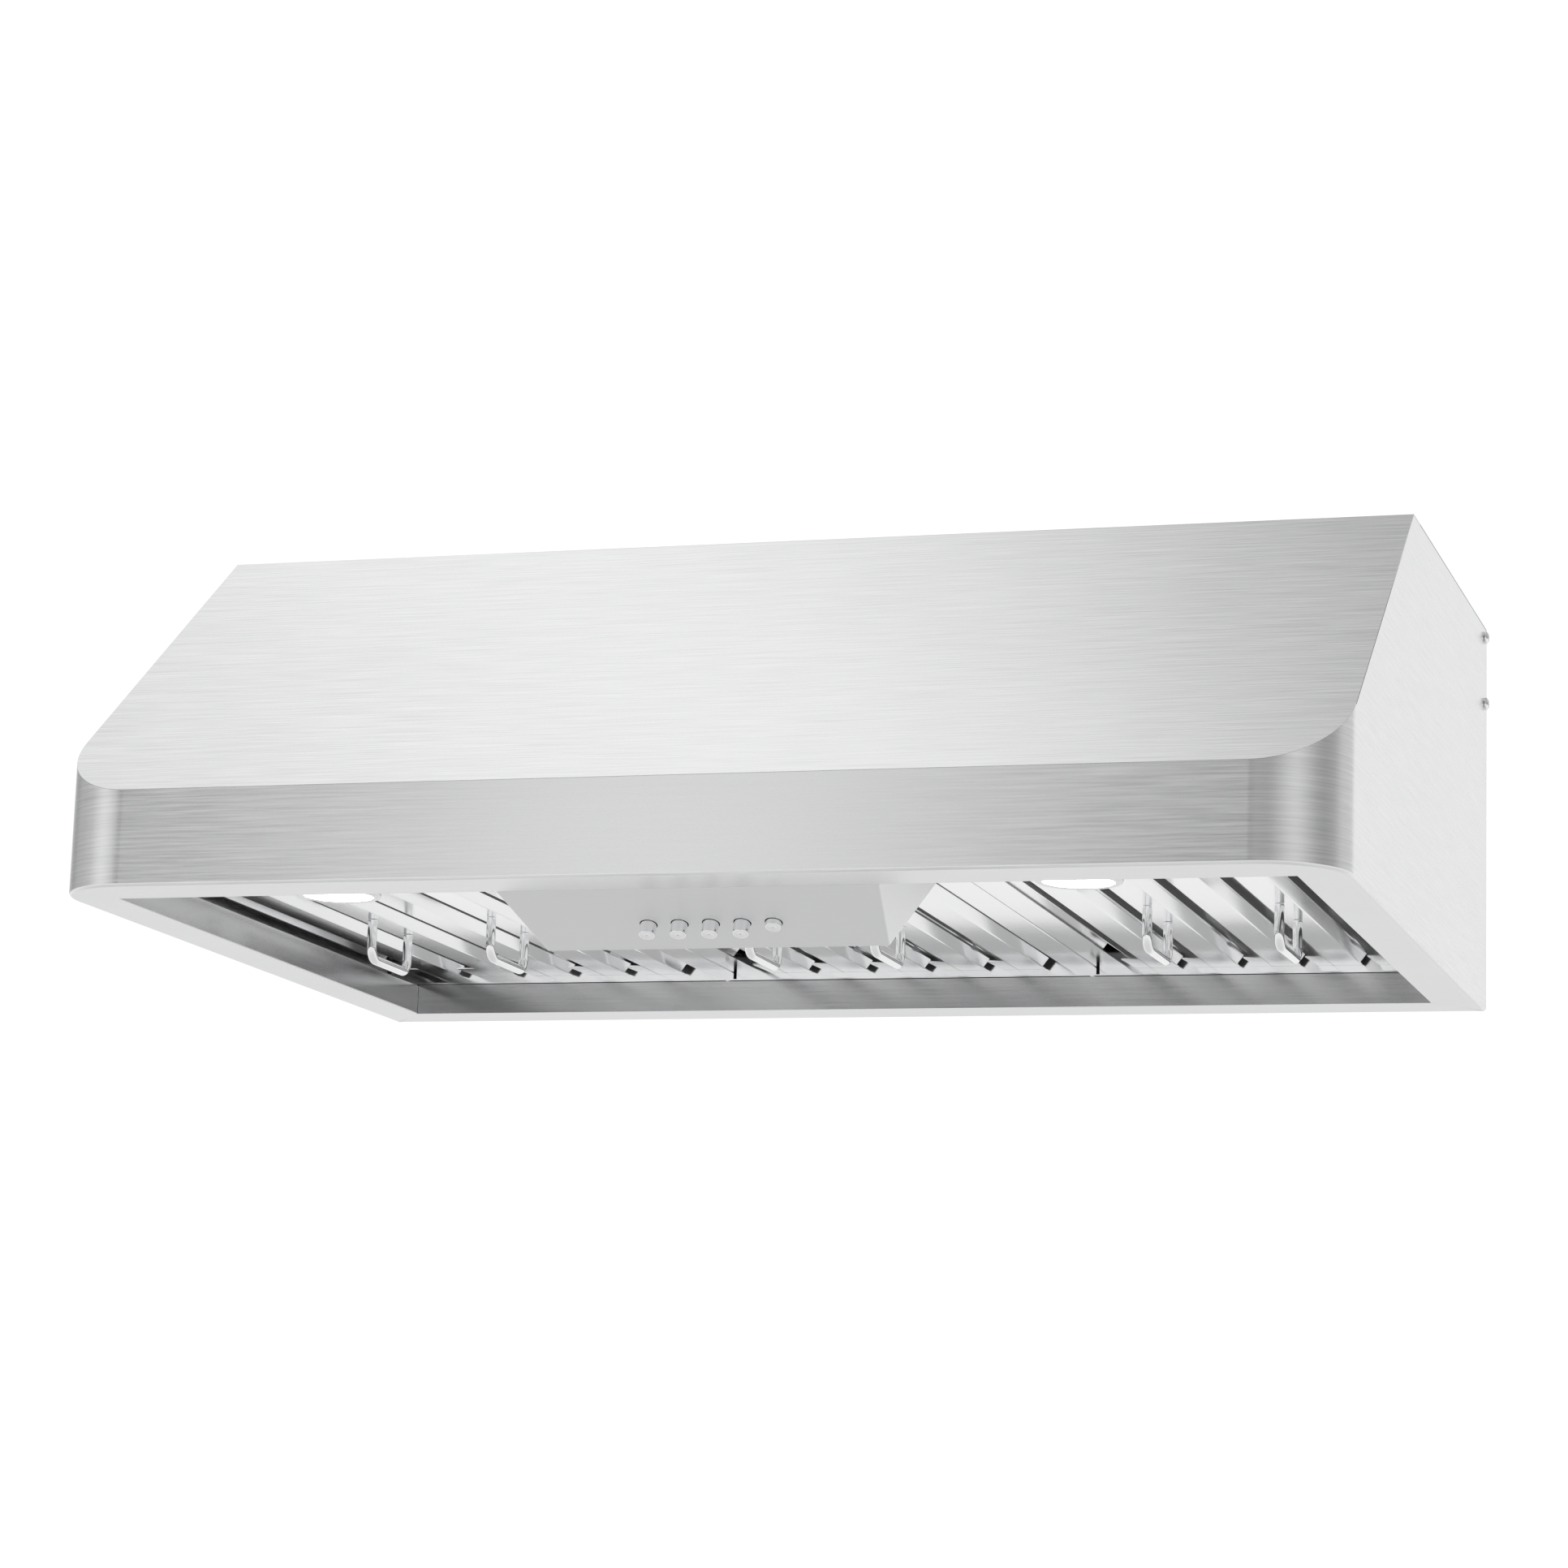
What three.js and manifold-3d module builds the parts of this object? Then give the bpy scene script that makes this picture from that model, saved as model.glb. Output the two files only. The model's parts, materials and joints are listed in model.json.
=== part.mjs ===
// Under cabinet range hood, millimetres, +Z up.
// Inside the file z = 0 is the underside of the rim and y = 0 is the back; the front is at -y.
// The exported group is lowered by half the height, so its origin is the centre of the back.
import * as THREE from 'three';
import { mergeVertices } from 'three/addons/utils/BufferGeometryUtils.js';
import Module from 'manifold-3d';

const wasm = await Module();
wasm.setup();

// Overall sizes
const width = 760;
const depth = 558;
const height = 254;
const bandHeight = 57;
const topDepth = 309;
const cornerRadius = 50;
const sheet = 1;
const gap = 0.3;

// Rim round the underside
const rimSide = 30.5;
const rimFront = 42.6;
const rimBack = 38.5;
const ledgeHeight = 20;
const ledgeWidth = 12;
const backFlange = 18;
const foldWidth = 24;
const lipHeight = 24;

// Front shelf
const shelfDepth = 100;

// Baffle filters
const filterCount = 3;
const filterSideGap = 0.7;
const filterJointGap = 0.6;
const filterBackGap = 20;
const filterOverlap = 15;
const filterThickness = 22;
const filterLift = 18;
const frameStrip = 20;
const baffleCount = 5;
const baffleInset = 25;
const baffleRise = 7.7;
const wingRise = 6;
const upperDrop = 2;
const rackEnd = 3;
const tieWidth = 8;

// Handles
const handleRod = 3;
const handleSpan = 61;
const handleReach = 25;
const handleBend = 8;
const handleBack = 232.5;

// Control box
const boxHalfWidth = 113.7;
const boxSideSlope = 0.415;
const boxFrontGap = 2.4;
const boxWall = 1.2;
const plateRun = 61.5;
const plateDrop = 24.6;
const boxBackRun = 35.5;

// Buttons
const buttonCount = 5;
const buttonPitch = 18.8;
const buttonRowCentre = 4.5;
const buttonDown = 38;
const buttonRadius = 4.75;
const buttonHoleGap = 0.5;
const buttonProud = 8;
const buttonTravel = 4;
const buttonInside = 10;
const buttonRound = 1;

// Lamps
const lampOffset = 222;
const lampFrontGap = 2.4;
const bezelRadius = 25;
const lensRadius = 20;
const lampDepth = 15.2;
const lensDepth = 4;
const heatSinkHeight = 10;

// Duct collar and damper
const ductRadius = 75;
const ductHeight = 26;
const collarFlange = 16;
const stopLip = 5;
const damperRise = 7;
const damperRod = 2;
const flapThickness = 1;
const knuckleRadius = 3.5;
const knuckleLength = 14;

// Blower
const blowerBackGap = 75;
const blowerWheelWidth = 112;
const blowerWall = 1.5;
const blowerEndGap = 4;
const wheelShare = 0.33;
const tongueClearance = 6;
const scrollGrowth = 1.38;
const tongueAngle = 105;
const inletShare = 0.8;
const bladeCount = 20;
const bladeThickness = 1.2;
const wheelRing = 3;
const shaftRadius = 4;
const hubRadius = 11;
const motorRadius = 42;
const motorLength = 58;
const motorStandOff = 12;
const bracketArms = 3;

// Electrics
const junctionSize = [110, 46, 55];
const coverThickness = 1.5;
const driverSize = [90, 40, 26];
const capacitorRadius = 16;
const capacitorLength = 60;
const capacitorGap = 2;
const bushingRadius = 11;
const bushingOffset = 245;
const bushingBack = 42;

// Screws and fixing slots
const screwHead = 4.3;
const screwHeadHeight = 2.4;
const screwShank = 2;
const screwLength = 7;
const screwBack = 9;
const screwHeights = [7.5, 52];
const fixingHole = 3;
const fixingInset = 60;

// Places worked out from the sizes above
const halfWidth = width / 2;
const innerHalf = halfWidth - sheet - gap;
const openSide = halfWidth - rimSide;
const openFront = -(depth - rimFront);
const openBack = -rimBack;
const slopeRun = depth - topDepth;
const slopeRise = height - bandHeight;
const slopeLength = Math.hypot(slopeRun, slopeRise);
const wallTop = height - sheet - gap;
const shelfFront = openFront + gap;
const shelfBack = shelfFront + shelfDepth;
const shelfBottom = ledgeHeight - sheet;
const filterBottom = ledgeHeight + gap;
const filterTop = filterBottom + filterThickness;
const filterBack = -filterBackGap;
const filterFront = shelfBack - filterOverlap;
const filterSpan = 2 * (halfWidth - sheet - filterSideGap);
const filterWidth = (filterSpan - (filterCount - 1) * filterJointGap) / filterCount;
const baffleBottom = filterBottom + baffleRise;
const bafflePitch = (filterWidth - 2 * frameStrip - 2 * baffleInset) / (baffleCount - 1);
const baffleHalfFace = bafflePitch * 0.21;
const baffleHalfWing = bafflePitch * 0.37;
const plateTilt = Math.atan2(plateDrop, plateRun);
const boxTop = shelfBottom - gap;
const boxFront = openFront + boxFrontGap;
const boxRidge = boxFront + plateRun;
const lampY = openFront + lampFrontGap + bezelRadius;
const lampTop = shelfBottom - gap;
const blowerTop = height - sheet - gap - sheet - gap;
const blowerBottom = filterTop + filterLift + 4;
const wheelRadius = (blowerTop - blowerBottom) * wheelShare;
const scrollStart = wheelRadius + tongueClearance;
const scrollEnd = scrollStart * scrollGrowth;
const blowerY = -(blowerBackGap + scrollEnd + blowerWall);
const blowerZ = blowerBottom + scrollRadius(270) + 2 * blowerWall;
const housingHalf = blowerWheelWidth / 2 + blowerEndGap;
const inletRadius = wheelRadius * inletShare;
const tongueReach = scrollStart * Math.cos(THREE.MathUtils.degToRad(tongueAngle));
const collarY = blowerY + (scrollEnd + tongueReach) / 2;
const damperZ = height + damperRise;

const steel = finish('#d5d7d9', 0.32, 1);
const rimSteel = finish('#c4c7ca', 0.3, 1);
const polished = finish('#e2e4e6', 0.12, 1);
const galvanised = finish('#a9adb0', 0.5, 1);
const satin = finish('#c9cacb', 0.5, 0.4);
const lensPlastic = finish('#ffffff', 0.3, 0);
const blackPlastic = finish('#26282a', 0.6, 0);
const greyPlastic = finish('#8d9093', 0.55, 0);

const hood = new THREE.Group();
hood.position.z = -height / 2;

function finish(color, roughness, metalness) {
  return new THREE.MeshStandardMaterial({ color, roughness, metalness });
}

// A three.js geometry as a manifold solid.
function solid(geometry) {
  const bare = geometry.index ? geometry.toNonIndexed() : geometry;
  bare.deleteAttribute('normal');
  bare.deleteAttribute('uv');
  const merged = mergeVertices(bare, 1e-4);
  return new wasm.Manifold(new wasm.Mesh({
    numProp: 3,
    vertProperties: merged.attributes.position.array,
    triVerts: new Uint32Array(merged.index.array),
  }));
}

function join(...parts) {
  return parts.reduce((all, next) => all.add(next));
}

function cut(body, ...tools) {
  return tools.reduce((left, tool) => left.subtract(tool), body);
}

function add(name, body, material) {
  const made = body.getMesh();
  const geometry = new THREE.BufferGeometry();
  const corners = new Float32Array(made.vertProperties);
  geometry.setAttribute('position', new THREE.BufferAttribute(corners, 3));
  geometry.setIndex(new THREE.BufferAttribute(new Uint32Array(made.triVerts), 1));
  geometry.computeVertexNormals();
  const mesh = new THREE.Mesh(geometry, material);
  mesh.name = name;
  hood.add(mesh);
  return mesh;
}

function box(x0, x1, y0, y1, z0, z1) {
  const geometry = new THREE.BoxGeometry(x1 - x0, y1 - y0, z1 - z0);
  return solid(geometry.translate((x0 + x1) / 2, (y0 + y1) / 2, (z0 + z1) / 2));
}

function shapeOf(points) {
  return new THREE.Shape(points.map(([u, v]) => new THREE.Vector2(u, v)));
}

function extrude(shape, length, curveSegments = 8) {
  return new THREE.ExtrudeGeometry(shape, { depth: length, bevelEnabled: false, curveSegments });
}

// Outline of (y, z) points carried along x from x0 to x1.
function alongX(points, x0, x1) {
  const turn = new THREE.Matrix4().set(0, 0, 1, x0, 1, 0, 0, 0, 0, 1, 0, 0, 0, 0, 0, 1);
  return solid(extrude(shapeOf(points), x1 - x0).applyMatrix4(turn));
}

// Outline of (x, z) points carried along y from y0 to y1.
function alongY(points, y0, y1) {
  const turn = new THREE.Matrix4().set(1, 0, 0, 0, 0, 0, -1, y1, 0, 1, 0, 0, 0, 0, 0, 1);
  return solid(extrude(shapeOf(points), y1 - y0).applyMatrix4(turn));
}

function alongZ(shape, z0, z1, curveSegments) {
  return solid(extrude(shape, z1 - z0, curveSegments).translate(0, 0, z0));
}

// A rod between two points.
function rod(from, to, radius, sides = 24) {
  const start = new THREE.Vector3(...from);
  const way = new THREE.Vector3(...to).sub(start);
  const geometry = new THREE.CylinderGeometry(radius, radius, way.length(), sides);
  geometry.translate(0, way.length() / 2, 0);
  const turn = new THREE.Quaternion().setFromUnitVectors(new THREE.Vector3(0, 1, 0), way.normalize());
  return solid(geometry.applyQuaternion(turn).translate(...from));
}

// A ring or disc turned about z: (radius, z) points, closed on themselves or on the axis.
function turned(points, sides = 24) {
  const profile = points.map(([r, z]) => new THREE.Vector2(r, z));
  return solid(new THREE.LatheGeometry(profile, sides).rotateX(Math.PI / 2));
}

function ring(inner, outer, z0, z1, sides) {
  return turned([[inner, z0], [outer, z0], [outer, z1], [inner, z1], [inner, z0]], sides);
}

function scrollRadius(degrees) {
  const share = (degrees - tongueAngle) / (360 - tongueAngle);
  return scrollStart + (scrollEnd - scrollStart) * share;
}

// Plan of the hood, drawn in by inset, with rounded front corners.
function plan(inset, back) {
  const side = halfWidth - inset;
  const front = -(depth - inset);
  const radius = cornerRadius - inset;
  const shape = new THREE.Shape();
  shape.moveTo(-side, back);
  shape.lineTo(-side, front + radius);
  shape.absarc(-side + radius, front + radius, radius, Math.PI, 1.5 * Math.PI, false);
  shape.lineTo(side - radius, front);
  shape.absarc(side - radius, front + radius, radius, 1.5 * Math.PI, 2 * Math.PI, false);
  shape.lineTo(side, back);
  return shape;
}

// Everything in front of and above the slope, moved in by drop along the slope's normal.
function aboveSlope(drop) {
  const lower = bandHeight - drop * slopeLength / slopeRun;
  const rise = slopeRise / slopeRun;
  const far = 2 * depth;
  return alongX([
    [-depth - far, lower - far * rise],
    [-depth + far, lower + far * rise],
    [-depth - far, lower + far * rise],
  ], -width, width);
}

function screwHole(side, below, reach) {
  const z = height - screwHeights[below];
  const x = side * (halfWidth - reach);
  return rod([x, -screwBack, z], [side * (halfWidth + 1), -screwBack, z], screwShank + gap, 8);
}

function allScrewHoles() {
  return [-1, 1].flatMap((side) => screwHeights.map((_, i) => screwHole(side, i, 10)));
}

// Side walls and band in one bend, with the rim, its upstand and the ledge the filters rest on.
function bodyWrap() {
  const wall = cut(alongZ(plan(0, 0), 0, wallTop), alongZ(plan(sheet, 1), -1, height));
  const rim = box(-halfWidth + sheet / 2, halfWidth - sheet / 2, -depth + sheet / 2, 0, 0, sheet);
  const upstand = box(-openSide - sheet, openSide + sheet, openFront - sheet, 0, 0, ledgeHeight);
  const ledge = box(-openSide - ledgeWidth, openSide + ledgeWidth, openFront - ledgeWidth, 0,
    ledgeHeight - sheet, ledgeHeight);
  const opening = box(-openSide, openSide, openFront, 1, -1, ledgeHeight + 1);
  const floor = cut(join(rim, upstand, ledge), opening, backZone());
  const rounded = floor.intersect(alongZ(plan(sheet / 2, 0), -1, height));
  return cut(join(wall, rounded), aboveSlope(sheet + gap), ...allScrewHoles());
}

// What the wrap leaves free for the back panel's rim: its slanting ends are the mitre seams.
function backZone() {
  const spare = gap * Math.hypot(rimSide, rimBack) / rimBack;
  const seat = openSide + spare;
  const shape = shapeOf([[-halfWidth - spare, 0], [-seat, openBack], [-openSide, openBack - gap],
    [openSide, openBack - gap], [seat, openBack], [halfWidth + spare, 0], [0, 1]]);
  const between = box(-halfWidth + sheet, halfWidth - sheet, -depth, 1, -2, ledgeHeight + 2);
  return alongZ(shape, -1, ledgeHeight + 1).intersect(between);
}

function backPanel() {
  const plate = box(-innerHalf, innerHalf, -sheet, 0, 0, wallTop);
  const flanges = [-1, 1].map((side) => {
    const outer = side * innerHalf;
    const inner = side * (innerHalf - sheet);
    return box(Math.min(outer, inner), Math.max(outer, inner), -backFlange, 0,
      ledgeHeight + gap, wallTop);
  });
  const seat = halfWidth - rimSide;
  const rim = alongZ(shapeOf([[-innerHalf, 0], [-seat, openBack], [seat, openBack], [innerHalf, 0]]),
    0, sheet);
  const upstand = box(-seat, seat, openBack, openBack + sheet, 0, ledgeHeight);
  const ledge = box(-seat, seat, openBack, openBack + ledgeWidth, ledgeHeight - sheet, ledgeHeight);
  return cut(join(plate, ...flanges, rim, upstand, ledge), ...allScrewHoles());
}

// Plate over the slope, with rounded lower corners and a short fold onto the flat top.
function slopedPanel() {
  const slab = cut(aboveSlope(sheet), aboveSlope(0));
  const sloped = slab.intersect(alongZ(plan(0, 0), 0, height));
  const fold = box(-halfWidth, halfWidth, -topDepth - sheet, -topDepth + foldWidth,
    height - sheet, height);
  const overTop = box(-width, width, -depth, depth, height, 2 * height);
  return cut(join(sloped, fold), overTop);
}

function topPanel() {
  const front = -topDepth + foldWidth + gap;
  const plate = box(-halfWidth, halfWidth, front, 0, height - sheet, height);
  const lips = [-1, 1].map((side) => {
    const outer = side * innerHalf;
    const inner = side * (innerHalf - sheet);
    return box(Math.min(outer, inner), Math.max(outer, inner), front, -backFlange - gap,
      height - lipHeight, height);
  });
  const duct = rod([0, collarY, height - 9], [0, collarY, height + 9], ductRadius + 1, 32);
  const cable = rod([-bushingOffset, -bushingBack, height - 9], [-bushingOffset, -bushingBack, height + 9],
    bushingRadius + gap, 24);
  const fixings = [-1, 1].flatMap((side) => [front + fixingInset / 2, -fixingInset].map((y) => {
    const x = side * (innerHalf - fixingInset);
    return rod([x, y, height - 9], [x, y, height + 9], fixingHole, 16);
  }));
  return cut(join(plate, ...lips), duct, cable, ...fixings);
}

function frontShelf() {
  const side = openSide - gap;
  const plate = box(-side, side, shelfFront, shelfBack, shelfBottom, ledgeHeight);
  const frontLip = box(-side, side, shelfFront, shelfFront + sheet, shelfBottom, ledgeHeight + 8);
  const lampHoles = [-1, 1].map((s) => rod([s * lampOffset, lampY, 0], [s * lampOffset, lampY, 30], 4, 16));
  const wiring = box(-30, 30, boxRidge - 20, boxRidge, 0, 30);
  return cut(join(plate, frontLip), ...lampHoles, wiring);
}

function filterFrame(x) {
  const half = filterWidth / 2;
  const block = box(x - half, x + half, filterFront, filterBack, filterBottom, filterTop);
  const channel = box(x - half + sheet, x + half - sheet, filterFront + sheet, filterBack - sheet,
    filterBottom + sheet, filterTop - sheet);
  const opening = box(x - half + frameStrip, x + half - frameStrip, filterFront + frameStrip,
    filterBack - frameStrip, filterBottom - 1, filterTop + 1);
  const relief = box(x - half - 1, x + half + 1, filterFront + frameStrip, filterBack - frameStrip,
    filterBottom - 1, baffleBottom);
  const strips = [-1, 1].map((side) => {
    const edges = [x + side * half, x + side * (half - frameStrip)].sort((a, b) => a - b);
    return box(...edges, filterFront, filterBack, baffleBottom, baffleBottom + sheet);
  });
  return join(cut(block, channel, opening, relief), ...strips);
}

// A baffle's section about its own centre line: a flat face with two wings turned back.
function baffleSection(x, face, wing, upward) {
  const t = sheet * upward;
  const lean = sheet * 0.6;
  return [
    [x - baffleHalfWing, wing],
    [x - baffleHalfFace, face],
    [x + baffleHalfFace, face],
    [x + baffleHalfWing, wing],
    [x + baffleHalfWing - lean, wing + t],
    [x + baffleHalfFace - lean, face + t],
    [x - baffleHalfFace + lean, face + t],
    [x - baffleHalfWing + lean, wing + t],
  ];
}

function baffleRack(x, places, face, wing, upward) {
  const front = filterFront + rackEnd;
  const back = filterBack - rackEnd;
  const baffles = places.map((place) => alongY(baffleSection(x + place, face, wing, upward), front, back));
  const reach = places.at(-1) + baffleHalfFace;
  const low = Math.min(face, face + sheet * upward);
  const ties = [[front, front + tieWidth], [back - tieWidth, back]].map(([y0, y1]) =>
    box(x - reach, x + reach, y0, y1, low, low + sheet));
  return join(...baffles, ...ties);
}

// A rod handle: two legs, two bends and a bar, all at one x.
function handle(x) {
  const path = new THREE.CurvePath();
  const top = baffleBottom - gap;
  const bar = baffleBottom - handleReach;
  const y0 = -handleBack - handleSpan / 2;
  const y1 = -handleBack + handleSpan / 2;
  const at = (y, z) => new THREE.Vector3(x, y, z);
  const bend = (a, corner, b) => path.add(new THREE.QuadraticBezierCurve3(a, corner, b));
  path.add(new THREE.LineCurve3(at(y0, top), at(y0, bar + handleBend)));
  bend(at(y0, bar + handleBend), at(y0, bar), at(y0 + handleBend, bar));
  path.add(new THREE.LineCurve3(at(y0 + handleBend, bar), at(y1 - handleBend, bar)));
  bend(at(y1 - handleBend, bar), at(y1, bar), at(y1, bar + handleBend));
  path.add(new THREE.LineCurve3(at(y1, bar + handleBend), at(y1, top)));
  const round = new THREE.Shape().absarc(0, 0, handleRod, 0, 2 * Math.PI);
  return solid(new THREE.ExtrudeGeometry(round, { steps: 20, curveSegments: 4, extrudePath: path }));
}

function addFilter(side, index) {
  const x = (index - (filterCount - 1) / 2) * (filterWidth + filterJointGap);
  const half = (baffleCount - 1) / 2;
  const lower = Array.from({ length: baffleCount }, (_, i) => (i - half) * bafflePitch);
  const upper = Array.from({ length: baffleCount + 1 }, (_, i) => (i - half - 0.5) * bafflePitch);
  const upperFace = filterTop - sheet - upperDrop;
  add(`filter_${side}_frame`, filterFrame(x), polished);
  add(`filter_${side}_lower_baffles`,
    baffleRack(x, lower, baffleBottom, baffleBottom + wingRise, 1), polished);
  add(`filter_${side}_upper_baffles`,
    baffleRack(x, upper, upperFace, upperFace - wingRise, -1), polished);
  add(`filter_${side}_handle_left`, handle(x + lower[1]), polished);
  add(`filter_${side}_handle_right`, handle(x + lower[baffleCount - 2]), polished);
}

// A point on the button plate, down the plate from its front edge and out along its normal.
function onPlate(x, down, out) {
  return [x,
    boxFront + down * Math.cos(plateTilt) - out * Math.sin(plateTilt),
    -down * Math.sin(plateTilt) - out * Math.cos(plateTilt)];
}

function buttonX(index) {
  return buttonRowCentre + (index - (buttonCount - 1) / 2) * buttonPitch;
}

// A wedge with slanting sides, open at the top, drawn in by wall all round.
function wedge(wall, top) {
  const tan = Math.tan(plateTilt);
  const backSlope = (boxTop + plateDrop) / boxBackRun;
  const backGap = wall * Math.hypot(1, backSlope) / backSlope;
  const plateGap = wall * Math.hypot(1, tan);
  const front = boxFront + wall;
  const topBack = boxRidge + (top + plateDrop) / backSlope - backGap;
  const ridge = (plateDrop + plateGap + backSlope * (plateRun - backGap)) / (tan + backSlope);
  const ridgeZ = plateGap - tan * ridge;
  const side = (z) => boxHalfWidth + boxSideSlope * z - wall * Math.hypot(1, boxSideSlope);
  const profile = [
    [front, top],
    [front, plateGap - tan * wall],
    [boxFront + ridge, ridgeZ],
    [topBack, top],
  ];
  const low = -plateDrop - 5;
  const sides = alongY([[-side(low), low], [side(low), low], [side(top), top], [-side(top), top]],
    -depth, 0);
  return alongX(profile, -halfWidth, halfWidth).intersect(sides);
}

function controlBox() {
  const holes = Array.from({ length: buttonCount }, (_, i) =>
    rod(onPlate(buttonX(i), buttonDown, 3), onPlate(buttonX(i), buttonDown, -6),
      buttonRadius + buttonHoleGap, 16));
  return cut(wedge(0, boxTop), wedge(boxWall, boxTop + 5), ...holes);
}

function button(index) {
  const latched = index === buttonCount - 1;
  const proud = buttonProud - (latched ? buttonTravel : 0);
  const length = buttonProud + buttonInside;
  const r = buttonRadius;
  const body = turned([
    [0, 0], [r, 0], [r, length - buttonRound], [r - buttonRound, length], [0, length],
  ], 16);
  const [x, y, z] = onPlate(buttonX(index), buttonDown, proud - length);
  return body.rotate([180 - THREE.MathUtils.radToDeg(plateTilt), 0, 0]).translate([x, y, z]);
}

// Body of the interlocked switch, behind the row of buttons.
function switchBlock() {
  const length = buttonCount * buttonPitch + 8;
  const block = new THREE.BoxGeometry(length, 13, 8);
  const [x, y, z] = onPlate(buttonRowCentre, buttonDown, -(buttonInside + buttonTravel + 1 + 4));
  return solid(block.rotateX(-plateTilt).translate(x, y, z));
}

function addLamp(side, name) {
  const place = (body) => body.translate([side * lampOffset, lampY, 0]);
  const face = lampTop - lampDepth;
  const lensSeat = face + lensDepth + gap;
  const bezel = turned([
    [lensRadius + gap, face], [bezelRadius - 2, face], [bezelRadius, face + 2], [bezelRadius, lampTop],
    [5, lampTop], [5, lensSeat], [lensRadius + gap, lensSeat], [lensRadius + gap, face],
  ]);
  const lens = turned([
    [0, face], [lensRadius - 1, face], [lensRadius, face + 1], [lensRadius, face + lensDepth],
    [0, face + lensDepth],
  ]);
  const sinkBottom = ledgeHeight + gap;
  const sinkTop = sinkBottom + heatSinkHeight;
  const sink = turned([[0, sinkBottom], [bezelRadius, sinkBottom], [bezelRadius, sinkTop], [0, sinkTop]]);
  const slots = [-2, -1, 0, 1, 2].map((i) => box(i * 8 - 1.5, i * 8 + 1.5, -30, 30,
    sinkBottom + 3, sinkTop + 1));
  add(`lamp_bezel_${name}`, place(bezel), rimSteel);
  add(`lamp_lens_${name}`, place(lens), lensPlastic);
  add(`lamp_heat_sink_${name}`, place(cut(sink, ...slots)), galvanised);
}

function ductCollar() {
  const flangeTop = height - sheet - gap;
  const flange = ring(ductRadius - stopLip, ductRadius + collarFlange, flangeTop - sheet, flangeTop, 32);
  const spigot = ring(ductRadius - sheet, ductRadius, flangeTop - sheet, height + ductHeight, 32);
  const stopZ = damperZ - flapThickness / 2 - gap;
  const stop = ring(ductRadius - stopLip, ductRadius, stopZ - sheet, stopZ, 32);
  const rodSeats = rod([-ductRadius - 1, 0, damperZ], [ductRadius + 1, 0, damperZ], damperRod + gap, 12);
  const well = damperRod + 2;
  const inside = ductRadius - sheet;
  const rodWell = box(-inside, inside, -well, well, stopZ - 2, stopZ + 2);
  return cut(join(flange, spigot, stop), rodSeats, rodWell).translate([0, collarY, 0]);
}

// Its riveted ends stand a little proud of the collar.
function crossRod() {
  const end = ductRadius + 0.8;
  return rod([-end, collarY, damperZ], [end, collarY, damperZ], damperRod, 16);
}

// Half a disc that turns about the cross rod on two knuckles; side is -1 for the front half.
function damperFlap(side) {
  const outline = new THREE.Shape();
  const radius = ductRadius - sheet - 1.5;
  const edge = knuckleRadius + gap;
  const angle = Math.asin(edge / radius);
  outline.absarc(0, 0, radius, angle, Math.PI - angle, false);
  const low = damperZ - flapThickness / 2;
  const high = damperZ + flapThickness / 2;
  const plate = alongZ(outline, low, high, 14);
  const starts = [-1, 1].map((s) => s * 40 + side * (knuckleLength / 2 + gap) - knuckleLength / 2);
  const knuckles = starts.map((x) => {
    const tube = rod([x, 0, damperZ], [x + knuckleLength, 0, damperZ], knuckleRadius, 12);
    const tab = box(x, x + knuckleLength, 0, edge + 1, low, high);
    const bore = rod([x - 1, 0, damperZ], [x + knuckleLength + 1, 0, damperZ], damperRod + gap, 12);
    return cut(join(tube, tab), bore);
  });
  const half = join(plate, ...knuckles);
  return (side < 0 ? half.mirror([0, 1, 0]) : half).translate([0, collarY, 0]);
}

// Scroll outline: straight up at the back, spiral round to the tongue, straight up again.
function scrollOutline(wall, top) {
  const points = [[blowerY + scrollEnd + wall, top], [blowerY + scrollEnd + wall, blowerZ]];
  const steps = 20;
  for (let i = 1; i <= steps; i += 1) {
    const degrees = 360 - (360 - tongueAngle) * i / steps;
    const angle = THREE.MathUtils.degToRad(degrees);
    const r = scrollRadius(degrees) + wall;
    points.push([blowerY + r * Math.cos(angle), blowerZ + r * Math.sin(angle)]);
  }
  const tongueY = points.at(-1)[0];
  points.push([tongueY, top]);
  return points;
}

function blowerHousing() {
  const side = housingHalf + blowerWall;
  const outside = alongX(scrollOutline(blowerWall, blowerTop), -side, side);
  const inside = alongX(scrollOutline(0, blowerTop + 5), -housingHalf, housingHalf);
  const inlets = rod([-side - 9, blowerY, blowerZ], [side + 9, blowerY, blowerZ], inletRadius, 24);
  return cut(outside, inside, inlets);
}

function turnedX(points, sides) {
  return turned(points, sides).rotate([0, 90, 0]).translate([0, blowerY, blowerZ]);
}

// Rounded ring that guides air into the wheel.
function inletRing(side) {
  const x = housingHalf + blowerWall + gap;
  const r = inletRadius;
  const mouth = turned([[r, x], [r + 9, x], [r + 9, x + sheet], [r + 4, x + 3], [r, x + 3], [r, x]]);
  const faced = side < 0 ? mouth.mirror([0, 0, 1]) : mouth;
  return faced.rotate([0, 90, 0]).translate([0, blowerY, blowerZ]);
}

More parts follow.
